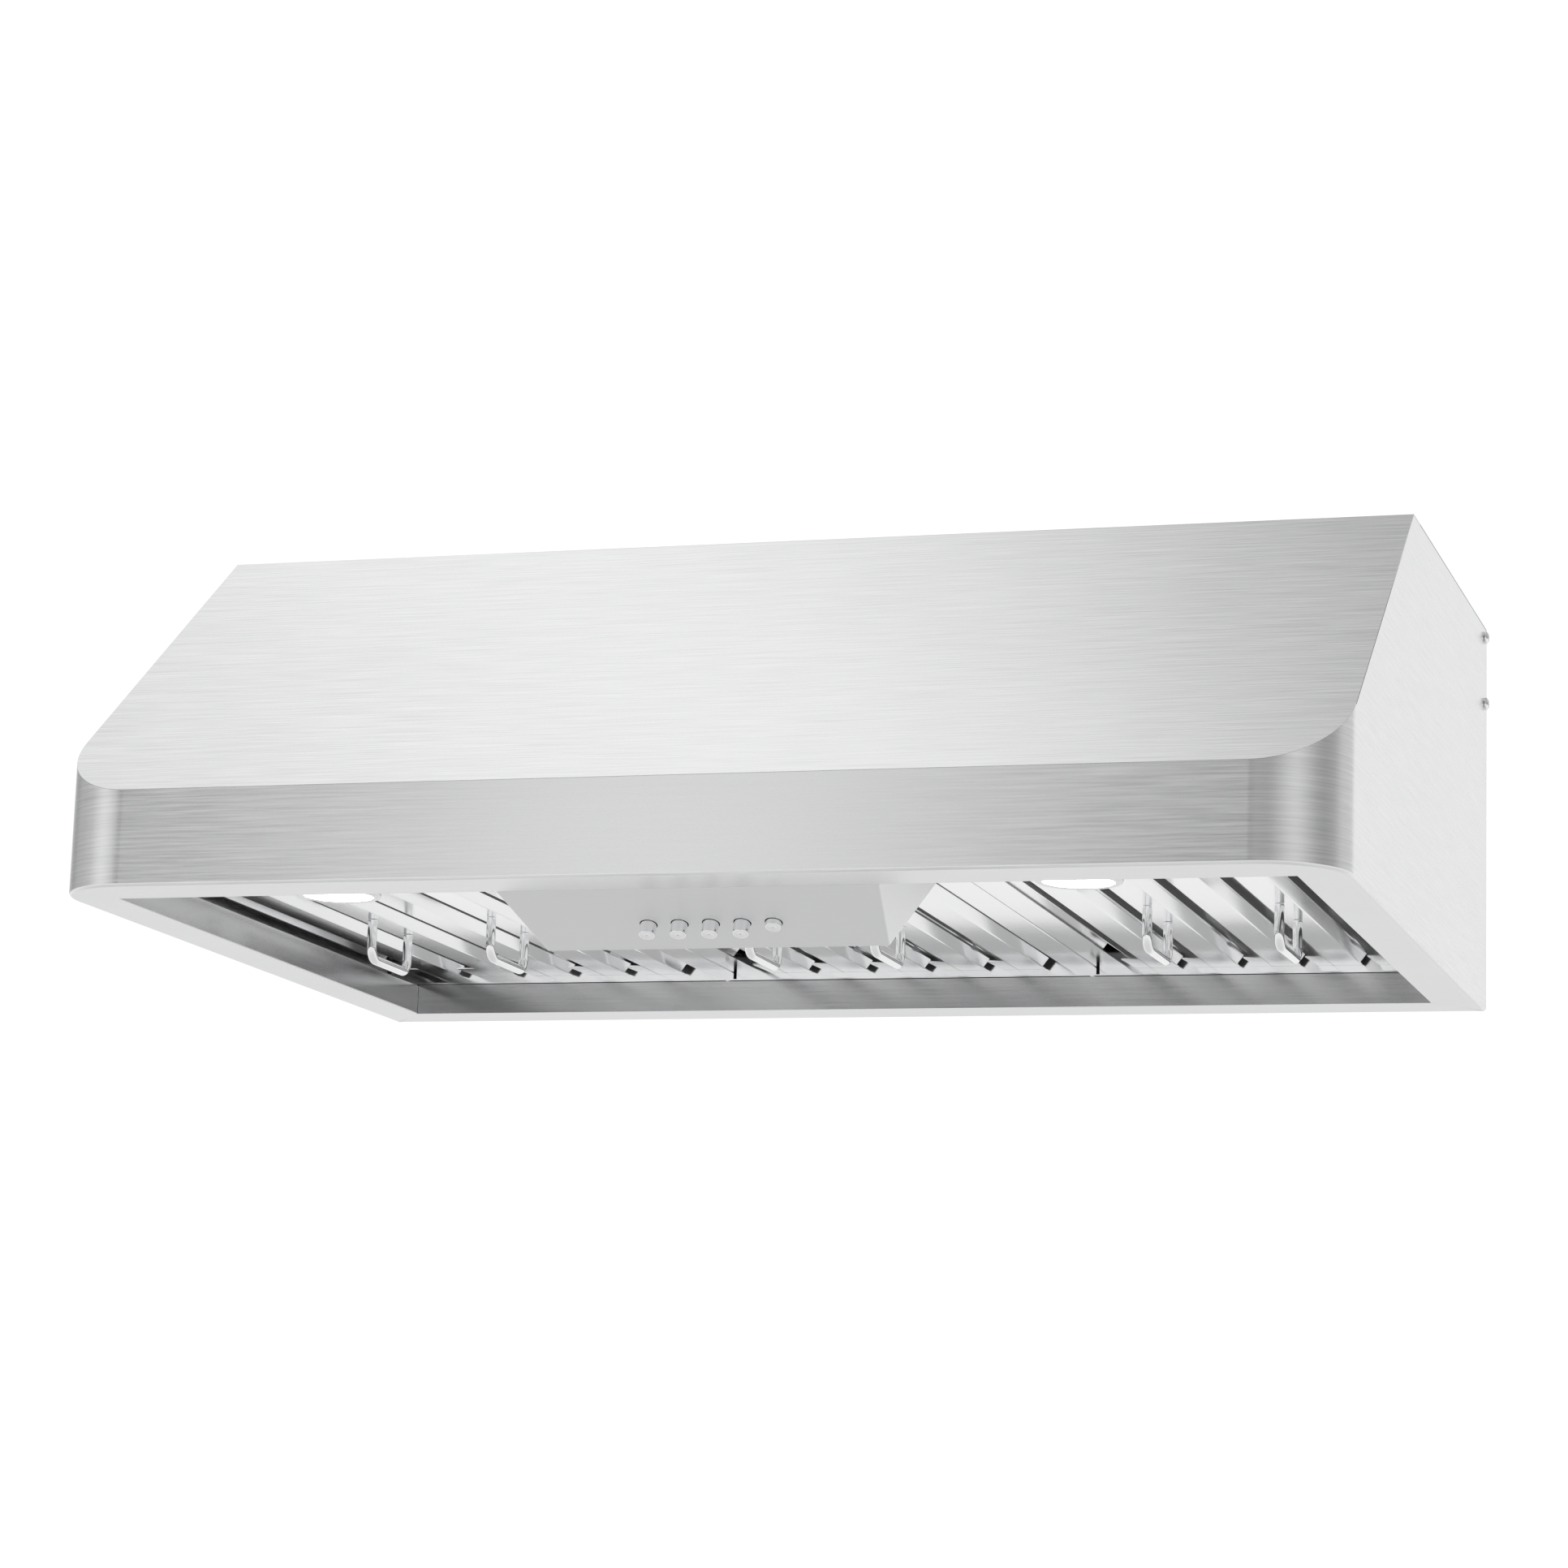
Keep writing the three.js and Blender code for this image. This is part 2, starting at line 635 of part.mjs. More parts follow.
function blowerWheel() {
  const half = blowerWheelWidth / 2;
  const inner = wheelRadius * 0.83;
  const rings = [-1, 1].map((side) => {
    const x = side * (half - wheelRing / 2);
    return turnedX([[inner, x - wheelRing / 2], [wheelRadius, x - wheelRing / 2],
      [wheelRadius, x + wheelRing / 2], [inner, x + wheelRing / 2], [inner, x - wheelRing / 2]]);
  });
  const bore = shaftRadius + gap;
  const disc = turnedX([[bore, -1], [wheelRadius, -1], [wheelRadius, 1], [bore, 1], [bore, -1]]);
  const hub = turnedX([[bore, -12], [hubRadius, -12], [hubRadius, 12], [bore, 12], [bore, -12]], 24);
  const blades = Array.from({ length: bladeCount }, (_, i) => blade(i, inner, half));
  return join(disc, hub, ...rings, ...blades);
}

// One forward curved blade, swept 30 degrees from its root to its tip.
function blade(index, inner, half) {
  const start = 2 * Math.PI * index / bladeCount;
  const steps = 2;
  const edge = (offset) => Array.from({ length: steps + 1 }, (_, k) => {
    const share = k / steps;
    const r = inner + 0.3 + (wheelRadius - 0.6 - inner) * share;
    const angle = start + 0.14 * share * share + offset / r;
    return [blowerY + r * Math.cos(angle), blowerZ + r * Math.sin(angle)];
  });
  return alongX([...edge(0), ...edge(bladeThickness).reverse()], -half, half);
}

function motorEnd() {
  return housingHalf + blowerWall + motorStandOff;
}

function motor() {
  const x = motorEnd();
  const can = turnedX([[0, x], [motorRadius - 3, x], [motorRadius, x + 3], [motorRadius, x + motorLength - 4],
    [motorRadius - 4, x + motorLength], [0, x + motorLength]]);
  const nose = turnedX([[0, x - 6], [12, x - 6], [12, x + 1], [0, x + 1]], 24);
  const bore = rod([x - 10, blowerY, blowerZ], [x + 24, blowerY, blowerZ], shaftRadius + gap, 12);
  return cut(join(can, nose), bore);
}

// Ring round the motor with arms that stand on the housing's side.
function motorBracket() {
  const x = motorEnd() + 14;
  const foot = housingHalf + blowerWall + gap;
  const inner = motorRadius + gap;
  const band = turnedX([[inner, x], [inner + 3, x], [inner + 3, x + 14], [inner, x + 14], [inner, x]]);
  const reach = inletRadius + 12;
  const arms = Array.from({ length: bracketArms }, (_, i) => {
    const arm = join(
      box(x, x + 2, -6, 6, inner + 1, reach + 2),
      box(foot, x + 2, -6, 6, reach, reach + 2),
      box(foot, foot + 2, -6, 6, reach, reach + 14),
    );
    return arm.rotate([90 + i * 360 / bracketArms, 0, 0]).translate([0, blowerY, blowerZ]);
  });
  return join(band, ...arms);
}

function shaft() {
  return rod([-15, blowerY, blowerZ], [motorEnd() + 22, blowerY, blowerZ], shaftRadius, 12);
}

function junctionBox() {
  const [w, d, h] = junctionSize;
  const x0 = -bushingOffset - w / 2;
  const top = height - sheet - gap;
  const back = -backFlange - gap;
  const shell = box(x0, x0 + w, back - d, back, top - h, top);
  const room = box(x0 + sheet, x0 + w - sheet, back - d - 1, back - sheet, top - h + sheet, top - sheet);
  const entry = rod([-bushingOffset, -bushingBack, top - 5], [-bushingOffset, -bushingBack, top + 5],
    bushingRadius + gap, 24);
  return cut(shell, room, entry);
}

function junctionCover() {
  const [w, d, h] = junctionSize;
  const x0 = -bushingOffset - w / 2;
  const front = -backFlange - 2 * gap - d;
  return box(x0, x0 + w, front - coverThickness, front, height - sheet - gap - h, height - sheet - gap);
}

function terminalBlock() {
  const z = height - sheet - gap - junctionSize[2] + sheet + gap;
  const y = -backFlange - 2 * gap - sheet;
  const x = -bushingOffset;
  const block = box(x - 25, x + 25, y - 18, y, z, z + 16);
  const ways = [-2, -1, 0, 1, 2].map((i) => box(x + i * 9 - 3, x + i * 9 + 3, y - 14, y - 4, z + 6, z + 20));
  return cut(block, ...ways);
}

function cableBushing() {
  const inner = bushingRadius - 3;
  const low = height - 2 * sheet - 2 * gap - 1;
  const sleeve = turned([
    [inner, low - 1], [bushingRadius + 3, low - 1], [bushingRadius + 3, low], [bushingRadius, low],
    [bushingRadius, height + gap], [bushingRadius + 3, height + gap], [bushingRadius + 1, height + 2],
    [inner, height + 2], [inner, low - 1],
  ], 16);
  return sleeve.translate([-bushingOffset, -bushingBack, 0]);
}

function capacitor() {
  const x = -(ductRadius + collarFlange + capacitorGap + capacitorRadius);
  const z = height - sheet - gap - capacitorRadius - 4;
  const half = capacitorLength / 2;
  const can = rod([x, blowerY - half, z], [x, blowerY + half, z], capacitorRadius, 20);
  const foot = box(x - 6, x + 6, blowerY - 10, blowerY + 10, z, height - sheet - gap);
  return join(can, foot);
}

function ledDriver() {
  const [w, d, h] = driverSize;
  const top = height - sheet - gap;
  const x = bushingOffset;
  const body = box(x - w / 2, x + w / 2, -bushingBack - d, -bushingBack, top - h, top);
  const feet = box(x - w / 2 - 10, x + w / 2 + 10, -bushingBack - d + 8, -bushingBack - 8, top - 2, top);
  return join(body, feet);
}

// Pan head screw through the side wall into the back panel's flange.
function sideScrew(side, below) {
  const z = height - screwHeights[below];
  const r = screwHead;
  const seat = halfWidth + gap;
  const h = screwHeadHeight;
  const tip = seat - screwLength;
  const screw = turned([
    [0, tip], [screwShank, tip], [screwShank, seat], [r, seat], [r, seat + h * 0.45], [r * 0.6, seat + h],
    [0, seat + h],
  ], 12);
  const slots = [0, 90].map((turn) => box(-0.5, 0.5, -r * 0.6, r * 0.6, seat + h * 0.5, seat + h + 1)
    .rotate([0, 0, turn]));
  return cut(screw, ...slots).rotate([0, side * 90, 0]).translate([0, -screwBack, z]);
}

add('body_wrap', bodyWrap(), steel);
add('sloped_front_panel', slopedPanel(), steel);
add('back_panel', backPanel(), rimSteel);
add('top_panel', topPanel(), galvanised);
add('front_shelf', frontShelf(), steel);
['left', 'middle', 'right'].forEach(addFilter);
add('control_box', controlBox(), satin);
for (let i = 0; i < buttonCount; i += 1) add(`button_${i + 1}`, button(i), polished);
add('switch_block', switchBlock(), blackPlastic);
addLamp(-1, 'left');
addLamp(1, 'right');
add('duct_collar', ductCollar(), galvanised);
add('damper_rod', crossRod(), galvanised);
add('damper_flap_front', damperFlap(-1), galvanised);
add('damper_flap_back', damperFlap(1), galvanised);
add('blower_housing', blowerHousing(), galvanised);
add('inlet_ring_left', inletRing(-1), blackPlastic);
add('inlet_ring_right', inletRing(1), blackPlastic);
add('blower_wheel', blowerWheel(), galvanised);
add('motor', motor(), greyPlastic);
add('motor_bracket', motorBracket(), galvanised);
add('motor_shaft', shaft(), polished);
add('junction_box', junctionBox(), galvanised);
add('junction_cover', junctionCover(), galvanised);
add('terminal_block', terminalBlock(), greyPlastic);
add('cable_bushing', cableBushing(), blackPlastic);
add('capacitor', capacitor(), greyPlastic);
add('led_driver', ledDriver(), greyPlastic);
[-1, 1].forEach((side) => screwHeights.forEach((_, i) => {
  add(`side_screw_${side < 0 ? 'left' : 'right'}_${i + 1}`, sideScrew(side, i), polished);
}));

export default hood;
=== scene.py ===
# Under cabinet range hood: brushed canopy, three baffle filters, push buttons and two lamps.
# Metres, in the part's own frame: +X to the right, +Y into the wall, +Z up.
import json
import math

import bmesh
import bpy
import numpy as np
from mathutils import Matrix, Vector


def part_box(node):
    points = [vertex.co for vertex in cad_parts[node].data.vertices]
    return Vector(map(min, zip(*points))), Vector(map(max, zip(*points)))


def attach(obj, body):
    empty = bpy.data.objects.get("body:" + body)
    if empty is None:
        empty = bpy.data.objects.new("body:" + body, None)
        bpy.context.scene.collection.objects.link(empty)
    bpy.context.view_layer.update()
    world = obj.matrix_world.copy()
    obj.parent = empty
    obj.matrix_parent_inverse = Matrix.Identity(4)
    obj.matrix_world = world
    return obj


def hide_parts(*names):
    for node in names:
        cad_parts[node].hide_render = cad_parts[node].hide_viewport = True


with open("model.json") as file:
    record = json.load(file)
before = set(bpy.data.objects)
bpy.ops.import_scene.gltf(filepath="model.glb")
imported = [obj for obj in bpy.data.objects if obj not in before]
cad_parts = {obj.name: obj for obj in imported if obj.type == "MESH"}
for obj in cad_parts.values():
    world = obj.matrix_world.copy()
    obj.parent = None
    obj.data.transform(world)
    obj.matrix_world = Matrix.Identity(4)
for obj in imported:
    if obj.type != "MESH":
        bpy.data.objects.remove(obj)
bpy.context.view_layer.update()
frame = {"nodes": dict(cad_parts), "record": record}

mm = 0.001
scene = bpy.context.scene

print("reading the frame")
wrapLow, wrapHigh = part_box("body_wrap")
panelLow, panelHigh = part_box("sloped_front_panel")
halfWidth = float(wrapHigh[0])
depth = -float(wrapLow[1])
floorZ = float(wrapLow[2])
topZ = float(panelHigh[2])

canopy = dict(
    sheet=1.0 * mm,
    gap=0.3 * mm,
    cornerRadius=50 * mm,
    bandHeight=57 * mm,
    topDepth=309 * mm,
    rimSide=30.5 * mm,
    rimFront=42.6 * mm,
    rimBack=38.5 * mm,
    ledgeHeight=20 * mm,
    ledgeWidth=12 * mm,
    bend=2.0 * mm,        # bend from the walls to the rim
    edgeBend=0.9 * mm,    # tight bend at the opening
    cornerSteps=28,
    bendSteps=5,
)
openSide = halfWidth - canopy["rimSide"]
openFront = -(depth - canopy["rimFront"])
openBack = -canopy["rimBack"]
slopeRun = depth - canopy["topDepth"]
slopeRise = topZ - floorZ - canopy["bandHeight"]
slopeAngle = math.atan2(slopeRise, slopeRun)


# ---- shader helpers

class Wire:
    # one output of a shader tree; arithmetic on it adds Math nodes
    def __init__(self, paint, socket):
        self.paint = paint
        self.socket = socket

    def calc(self, operation, first, second=None):
        values = {0: first} if second is None else {0: first, 1: second}
        return self.paint.node("ShaderNodeMath", {"operation": operation}, values)

    def __add__(self, other):
        return self.calc("ADD", self, other)

    def __sub__(self, other):
        return self.calc("SUBTRACT", self, other)

    def __mul__(self, other):
        return self.calc("MULTIPLY", self, other)

    def __truediv__(self, other):
        return self.calc("DIVIDE", self, other)

    def __pow__(self, other):
        return self.calc("POWER", self, other)

    def __rsub__(self, other):
        return self.calc("SUBTRACT", other, self)

    __radd__ = __add__
    __rmul__ = __mul__


class Paint:
    # builds one node tree; node() takes a type, its settings and the values or wires of its sockets
    def __init__(self, tree):
        self.tree = tree

    def node(self, kind, settings=None, values=None, out=0):
        made = self.tree.nodes.new(kind)
        for key, value in (settings or {}).items():
            if key == "stops":
                self.fillRamp(made.color_ramp, value)
            else:
                setattr(made, key, value)
        for key, value in (values or {}).items():
            self.put(made.inputs[key], value)
        return Wire(self, made.outputs[out])

    def put(self, socket, value):
        if isinstance(value, Wire):
            self.tree.links.new(value.socket, socket)
        else:
            socket.default_value = value

    def fillRamp(self, ramp, stops):
        ramp.elements.remove(ramp.elements[1])
        ramp.elements[0].position = stops[0][0]
        for i, (place, tone) in enumerate(stops):
            element = ramp.elements.new(place) if i else ramp.elements[0]
            element.color = (tone, tone, tone, 1)

    def scaled(self, vector, scale):
        return self.node("ShaderNodeVectorMath", {"operation": "MULTIPLY"}, {0: vector, 1: scale})

    def noise(self, vector, scale=1.0, detail=2.0, roughness=0.5):
        return self.node("ShaderNodeTexNoise", {}, {
            "Vector": vector, "Scale": scale, "Detail": detail, "Roughness": roughness})

    def mix(self, factor, first, second):
        settings = {"data_type": "RGBA"}
        return self.node("ShaderNodeMix", settings, {0: factor, 6: first, 7: second}, 2)

    def bump(self, height, strength, distance):
        return self.node("ShaderNodeBump", {}, {
            "Strength": strength, "Distance": distance, "Height": height})


def startMaterial(name, **fixed):
    material = bpy.data.materials.new(name)
    material.use_nodes = True
    paint = Paint(material.node_tree)
    shader = material.node_tree.nodes["Principled BSDF"]
    for key, value in fixed.items():
        shader.inputs[key].default_value = value
    return material, paint, shader


def grey(level):
    return (level, level * 1.004, level * 1.01, 1)


# Steel rubbed along one direction: noise stretched along the grain in two sizes, plus slow clouding.
def brushedSteel(name, look, useMap):
    material, paint, shader = startMaterial(name, Metallic=1.0)
    if useMap:
        place = paint.node("ShaderNodeUVMap", {"uv_map": "grain"})
    else:
        place = paint.node("ShaderNodeTexCoord", {}, {}, 3)
    across = look["across"]
    fine = paint.noise(paint.scaled(place, (look["along"], across, across)), 1.0, 3.0, 0.6)
    broad = paint.noise(paint.scaled(place, (look["along"] * 0.5, across * 0.4, across * 0.4)), 1.0, 2.0)
    cloud = paint.noise(paint.scaled(place, (5.0, 9.0, 9.0)), 1.0, 2.0)
    grain = fine * 0.75 + broad * 0.25 - 0.5
    tone = grain * look["contrast"] + (cloud - 0.5) * look["clouding"] + 0.5
    low = grey(look["tone"] - 0.1)
    high = grey(look["tone"] + 0.1)
    paint.put(shader.inputs["Base Color"], paint.mix(tone, low, high))
    paint.put(shader.inputs["Roughness"], grain * look["roughSpread"] + look["rough"])
    normal = paint.bump(grain, look["bump"], 0.05 * mm)
    paint.put(shader.inputs["Normal"], normal)
    return material


# Mirror bright steel, with faint smears in the roughness and a slow wave in the sheet.
# A little glow stands in for the light thrown about between the racks.
def polishedSteel(name, look, glow=0.0):
    material, paint, shader = startMaterial(name, Metallic=1.0)
    shader.inputs["Emission Color"].default_value = (1, 1, 1, 1)
    shader.inputs["Emission Strength"].default_value = glow
    place = paint.node("ShaderNodeTexCoord", {}, {}, 3)
    smear = paint.noise(paint.scaled(place, (30.0, 12.0, 30.0)), 1.0, 4.0, 0.65)
    wave = paint.noise(paint.scaled(place, look["waveScale"]), 1.0, 1.0)
    darker, lighter = grey(look["tone"] - 0.03), grey(look["tone"] + 0.03)
    paint.put(shader.inputs["Base Color"], paint.mix(smear, darker, lighter))
    paint.put(shader.inputs["Roughness"], smear * look["smear"] + look["rough"])
    paint.put(shader.inputs["Normal"], paint.bump(wave, 1.0, look["wave"]))
    return material


# Zinc coated sheet: flat crystals of slightly different grey.
def galvanisedSheet(name):
    material, paint, shader = startMaterial(name, Metallic=0.9)
    place = paint.node("ShaderNodeTexCoord", {}, {}, 3)
    bent = paint.noise(place, 90.0, 2.0)
    mixed = paint.node("ShaderNodeVectorMath", {"operation": "MULTIPLY_ADD"},
                       {0: bent, 1: (0.02, 0.02, 0.02), 2: place})
    flakes = paint.node("ShaderNodeTexVoronoi", {"feature": "F1"}, {"Vector": mixed, "Scale": 110.0}, 1)
    level = paint.node("ShaderNodeRGBToBW", {}, {0: flakes})
    paint.put(shader.inputs["Base Color"], paint.mix(level, grey(0.5), grey(0.64)))
    paint.put(shader.inputs["Roughness"], level * 0.16 + 0.34)
    paint.put(shader.inputs["Normal"], paint.bump(level, 0.06, 0.1 * mm))
    return material


# Moulded or painted surface with a fine even texture.
def mouldedSurface(name, color, rough, texture, metallic=0.0, coat=0.0):
    material, paint, shader = startMaterial(name, Metallic=metallic)
    shader.inputs["Coat Weight"].default_value = coat
    place = paint.node("ShaderNodeTexCoord", {}, {}, 3)
    speck = paint.noise(place, texture, 3.0, 0.6)
    darker = tuple(0.9 * c for c in color)
    paint.put(shader.inputs["Base Color"], paint.mix(speck, (*darker, 1), (*color, 1)))
    paint.put(shader.inputs["Roughness"], speck * 0.12 + (rough - 0.06))
    paint.put(shader.inputs["Normal"], paint.bump(speck, 0.15, 0.05 * mm))
    return material


# Opal lens lit from behind: brightest in the middle, with faint rings moulded in it.
def litLens(name, centre, radius, power):
    material, paint, shader = startMaterial(name, Roughness=0.25)
    place = paint.node("ShaderNodeTexCoord", {}, {}, 3)
    moved = paint.node("ShaderNodeVectorMath", {"operation": "SUBTRACT"}, {0: place, 1: centre})
    flat = paint.scaled(moved, (1, 1, 0))
    reach = paint.node("ShaderNodeVectorMath", {"operation": "LENGTH"}, {0: flat}, 1) / radius
    glow = 1.0 - reach ** 2.0 * 0.35
    rings = (reach * 75.0).calc("SINE", reach * 75.0)
    tint = paint.mix(glow, (0.75, 0.85, 1.0, 1), (1.0, 1.0, 1.0, 1))
    paint.put(shader.inputs["Base Color"], tint)
    paint.put(shader.inputs["Emission Color"], tint)
    shader.inputs["Emission Strength"].default_value = power
    paint.put(shader.inputs["Normal"], paint.bump(rings, 0.2, 0.1 * mm))
    return material


# ---- mesh helpers

def newObject(name, mesh, material=None):
    made = bpy.data.objects.new(name, mesh)
    scene.collection.objects.link(made)
    if material is not None:
        mesh.materials.append(material)
    return made


def meshFrom(name, points, faces):
    mesh = bpy.data.meshes.new(name)
    mesh.from_pydata(np.asarray(points, float).reshape(-1, 3).tolist(), [], faces)
    mesh.validate()
    mesh.polygons.foreach_set("use_smooth", [True] * len(mesh.polygons))
    return mesh


# Quads between the points of a (rows, columns, 3) grid; either way round may close on itself.
def gridFaces(rows, columns, closeRows=False, closeColumns=False, first=0):
    r = np.arange(rows if closeRows else rows - 1)
    c = np.arange(columns if closeColumns else columns - 1)
    rr, cc = np.meshgrid(r, c, indexing="ij")
    nextR = (rr + 1) % rows
    nextC = (cc + 1) % columns
    quads = np.stack([rr * columns + cc, rr * columns + nextC,
                      nextR * columns + nextC, nextR * columns + cc], -1)
    return (quads.reshape(-1, 4) + first).tolist()


def setMap(mesh, uv):
    layer = mesh.uv_layers.new(name="grain")
    corner = np.zeros(len(mesh.loops), int)
    mesh.loops.foreach_get("vertex_index", corner)
    layer.data.foreach_set("uv", np.asarray(uv, float).reshape(-1, 2)[corner].ravel())


def recalc(mesh):
    work = bmesh.new()
    work.from_mesh(mesh)
    bmesh.ops.remove_doubles(work, verts=work.verts, dist=1e-7)
    bmesh.ops.recalc_face_normals(work, faces=work.faces)
    work.to_mesh(mesh)
    work.free()


def thicken(piece, thickness, side=-1.0):
    wall = piece.modifiers.new("wall", "SOLIDIFY")
    wall.thickness = thickness
    wall.offset = side
    wall.use_even_offset = True


def soften(piece, width, segments=2, angle=40):
    edge = piece.modifiers.new("edge", "BEVEL")
    edge.width = width
    edge.segments = segments
    edge.limit_method = "ANGLE"
    edge.angle_limit = math.radians(angle)
    edge.miter_outer = "MITER_ARC"


def evenShade(piece):
    shade = piece.modifiers.new("shade", "WEIGHTED_NORMAL")
    shade.weight = 100
    shade.keep_sharp = True


def place(piece, body, slotName, *nodes):
    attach(piece, body)
    if nodes:
        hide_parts(*nodes)
    return piece


# Points of an arc about centre, from start to end in degrees.
def arcPoints(centre, radius, start, end, steps):
    turn = np.radians(np.linspace(start, end, steps + 1))
    return np.stack([centre[0] + radius * np.cos(turn), centre[1] + radius * np.sin(turn)], -1)


# A profile of (radius, height) points turned about an axis through centre.
def turnedPiece(name, profile, centre, axis, sides, material):
    profile = np.asarray(profile, float)
    turn = np.linspace(0, 2 * math.pi, sides, endpoint=False)
    ring = np.stack([np.cos(turn), np.sin(turn)], -1)
    flat = profile[:, None, 0, None] * ring[None]
    high = np.broadcast_to(profile[:, 1, None, None], (len(profile), sides, 1))
    points = np.concatenate([flat, high], -1).reshape(-1, 3)
    spin = Vector((0, 0, 1)).rotation_difference(Vector(axis)).to_matrix()
    points = points @ np.array(spin).T + np.asarray(centre, float)
    mesh = meshFrom(name, points, gridFaces(len(profile), sides, closeColumns=True))
    recalc(mesh)
    mesh.set_sharp_from_angle(angle=math.radians(40))
    return newObject(name, mesh, material)


# A round rod along a path of points: circles square to the path's direction.
def rodPiece(name, path, radius, sides, material, up=(1, 0, 0)):
    path = np.asarray(path, float)
    way = np.gradient(path, axis=0)
    way /= np.linalg.norm(way, axis=1)[:, None]
    side = np.broadcast_to(np.asarray(up, float), way.shape)
    over = np.cross(way, side)
    turn = np.linspace(0, 2 * math.pi, sides, endpoint=False)
    points = (path[:, None] + radius * (np.cos(turn)[None, :, None] * side[:, None]
                                        + np.sin(turn)[None, :, None] * over[:, None]))
    faces = gridFaces(len(path), sides, closeColumns=True)
    faces.append(list(range(sides)))
    faces.append(list(range((len(path) - 1) * sides, len(path) * sides)))
    mesh = meshFrom(name, points, faces)
    recalc(mesh)
    mesh.set_sharp_from_angle(angle=math.radians(50))
    return newObject(name, mesh, material)


# A copy of a CAD piece with its triangles joined into flat faces and its edges rounded.
def softCopy(node, name, width, material, segments=2):
    mesh = frame["nodes"][node].data.copy()
    mesh.name = name
    mesh.materials.clear()
    work = bmesh.new()
    work.from_mesh(mesh)
    bmesh.ops.remove_doubles(work, verts=work.verts, dist=1e-6)
    bmesh.ops.dissolve_limit(work, angle_limit=math.radians(1), verts=work.verts, edges=work.edges)
    work.to_mesh(mesh)
    work.free()
    mesh.polygons.foreach_set("use_smooth", [True] * len(mesh.polygons))
    made = newObject(name, mesh, material)
    soften(made, width, segments)
    evenShade(made)
    return made


# Round holes of (centre, axis, radius), cut and applied.
def drill(piece, holes, length, sides=48):
    cutters = []
    for i, (centre, axis, radius) in enumerate(holes):
        profile = [(0, -length), (radius, -length), (radius, length), (0, length)]
        cutter = turnedPiece(f"cutter{i}", profile, centre, axis, sides, None)
        cut = piece.modifiers.new("cut", "BOOLEAN")
        cut.operation = "DIFFERENCE"
        cut.solver = "EXACT"
        cut.object = cutter
        cutters.append(cutter)
    applyAll(piece)
    for cutter in cutters:
        bpy.data.objects.remove(cutter)


def applyAll(piece):
    bpy.context.view_layer.update()
    shaped = piece.evaluated_get(bpy.context.evaluated_depsgraph_get())
    mesh = bpy.data.meshes.new_from_object(shaped)
    piece.modifiers.clear()
    piece.data = mesh


# ---- finishes

print("mixing the finishes")
faceLook = dict(tone=0.80, rough=0.22, roughSpread=0.25, contrast=2.4, clouding=0.15,
                bump=0.8, along=20.0, across=700.0)
# the upstand faces round the opening get a darker tone: painted shade, as if they stood in shadow
upstandShadeLook = dict(tone=0.5, rough=0.17, roughSpread=0.15, contrast=0.8, clouding=0.6,
                   bump=0.4, along=16.0, across=1100.0)
rimLook = dict(tone=0.79, rough=0.36, roughSpread=0.15, contrast=0.5, clouding=0.3,
               bump=0.25, along=22.0, across=900.0)
plateLook = dict(tone=0.75, rough=0.46, roughSpread=0.15, contrast=0.25, clouding=0.1,
                 bump=0.3, along=30.0, across=1300.0)
mirrorLook = dict(tone=0.88, rough=0.10, smear=0.08, wave=0.35 * mm, waveScale=(9.0, 3.0, 9.0))
chromeLook = dict(tone=0.88, rough=0.05, smear=0.05, wave=0.02 * mm, waveScale=(60.0, 60.0, 60.0))

canopySteel = brushedSteel("canopySteel", faceLook, True)
rimSteel = brushedSteel("rimSteel", rimLook, False)
# darker steel for the upstand: painted shade
upstandSteel = brushedSteel("upstandSteel", upstandShadeLook, False)
plateSteel = brushedSteel("plateSteel", plateLook, False)
mirrorSteel = polishedSteel("mirrorSteel", mirrorLook)
# upper baffles glow a little: painted bounce light thrown about between the racks
innerSteel = polishedSteel("innerSteel", mirrorLook, 0.03)
chrome = polishedSteel("chrome", chromeLook)
zinc = galvanisedSheet("zinc")
blackMoulding = mouldedSurface("blackMoulding", (0.03, 0.03, 0.033), 0.55, 900.0)
greyMoulding = mouldedSurface("greyMoulding", (0.42, 0.43, 0.44), 0.5, 700.0)
motorEnamel = mouldedSurface("motorEnamel", (0.12, 0.125, 0.13), 0.42, 500.0, 0.2, 0.2)


# ---- canopy

# Plan outline from the back left round the rounded front corners to the back right:
# straight sides, quarter circles, straight front. Returns points, outward normals and length so far.
def planPath(sideStops):
    radius = canopy["cornerRadius"]
    cx = halfWidth - radius
    cy = -(depth - radius)
    turn = np.radians(np.linspace(0, 90, canopy["cornerSteps"] + 1))
    left = [(-halfWidth, y) for y in sideStops]
    leftArc = np.stack([-cx - radius * np.cos(turn), cy - radius * np.sin(turn)], -1)
    frontStops = np.linspace(-cx, cx, 9)[1:-1]
    frontLine = np.stack([frontStops, np.full(len(frontStops), -depth)], -1)
    rightArc = np.stack([-leftArc[::-1, 0], leftArc[::-1, 1]], -1)
    right = [(halfWidth, y) for y in sideStops[::-1]]
    points = np.concatenate([left, leftArc, frontLine, rightArc, right])
    core = np.stack([np.clip(points[:, 0], -cx, cx), np.maximum(points[:, 1], cy)], -1)
    normals = points - core
    normals /= np.linalg.norm(normals, axis=1)[:, None]
    steps = np.linalg.norm(np.diff(points, axis=0), axis=1)
    return points, normals, np.concatenate([[0], np.cumsum(steps)])


def slopeHeight(y):
    return floorZ + canopy["bandHeight"] + (y + depth) * slopeRise / slopeRun


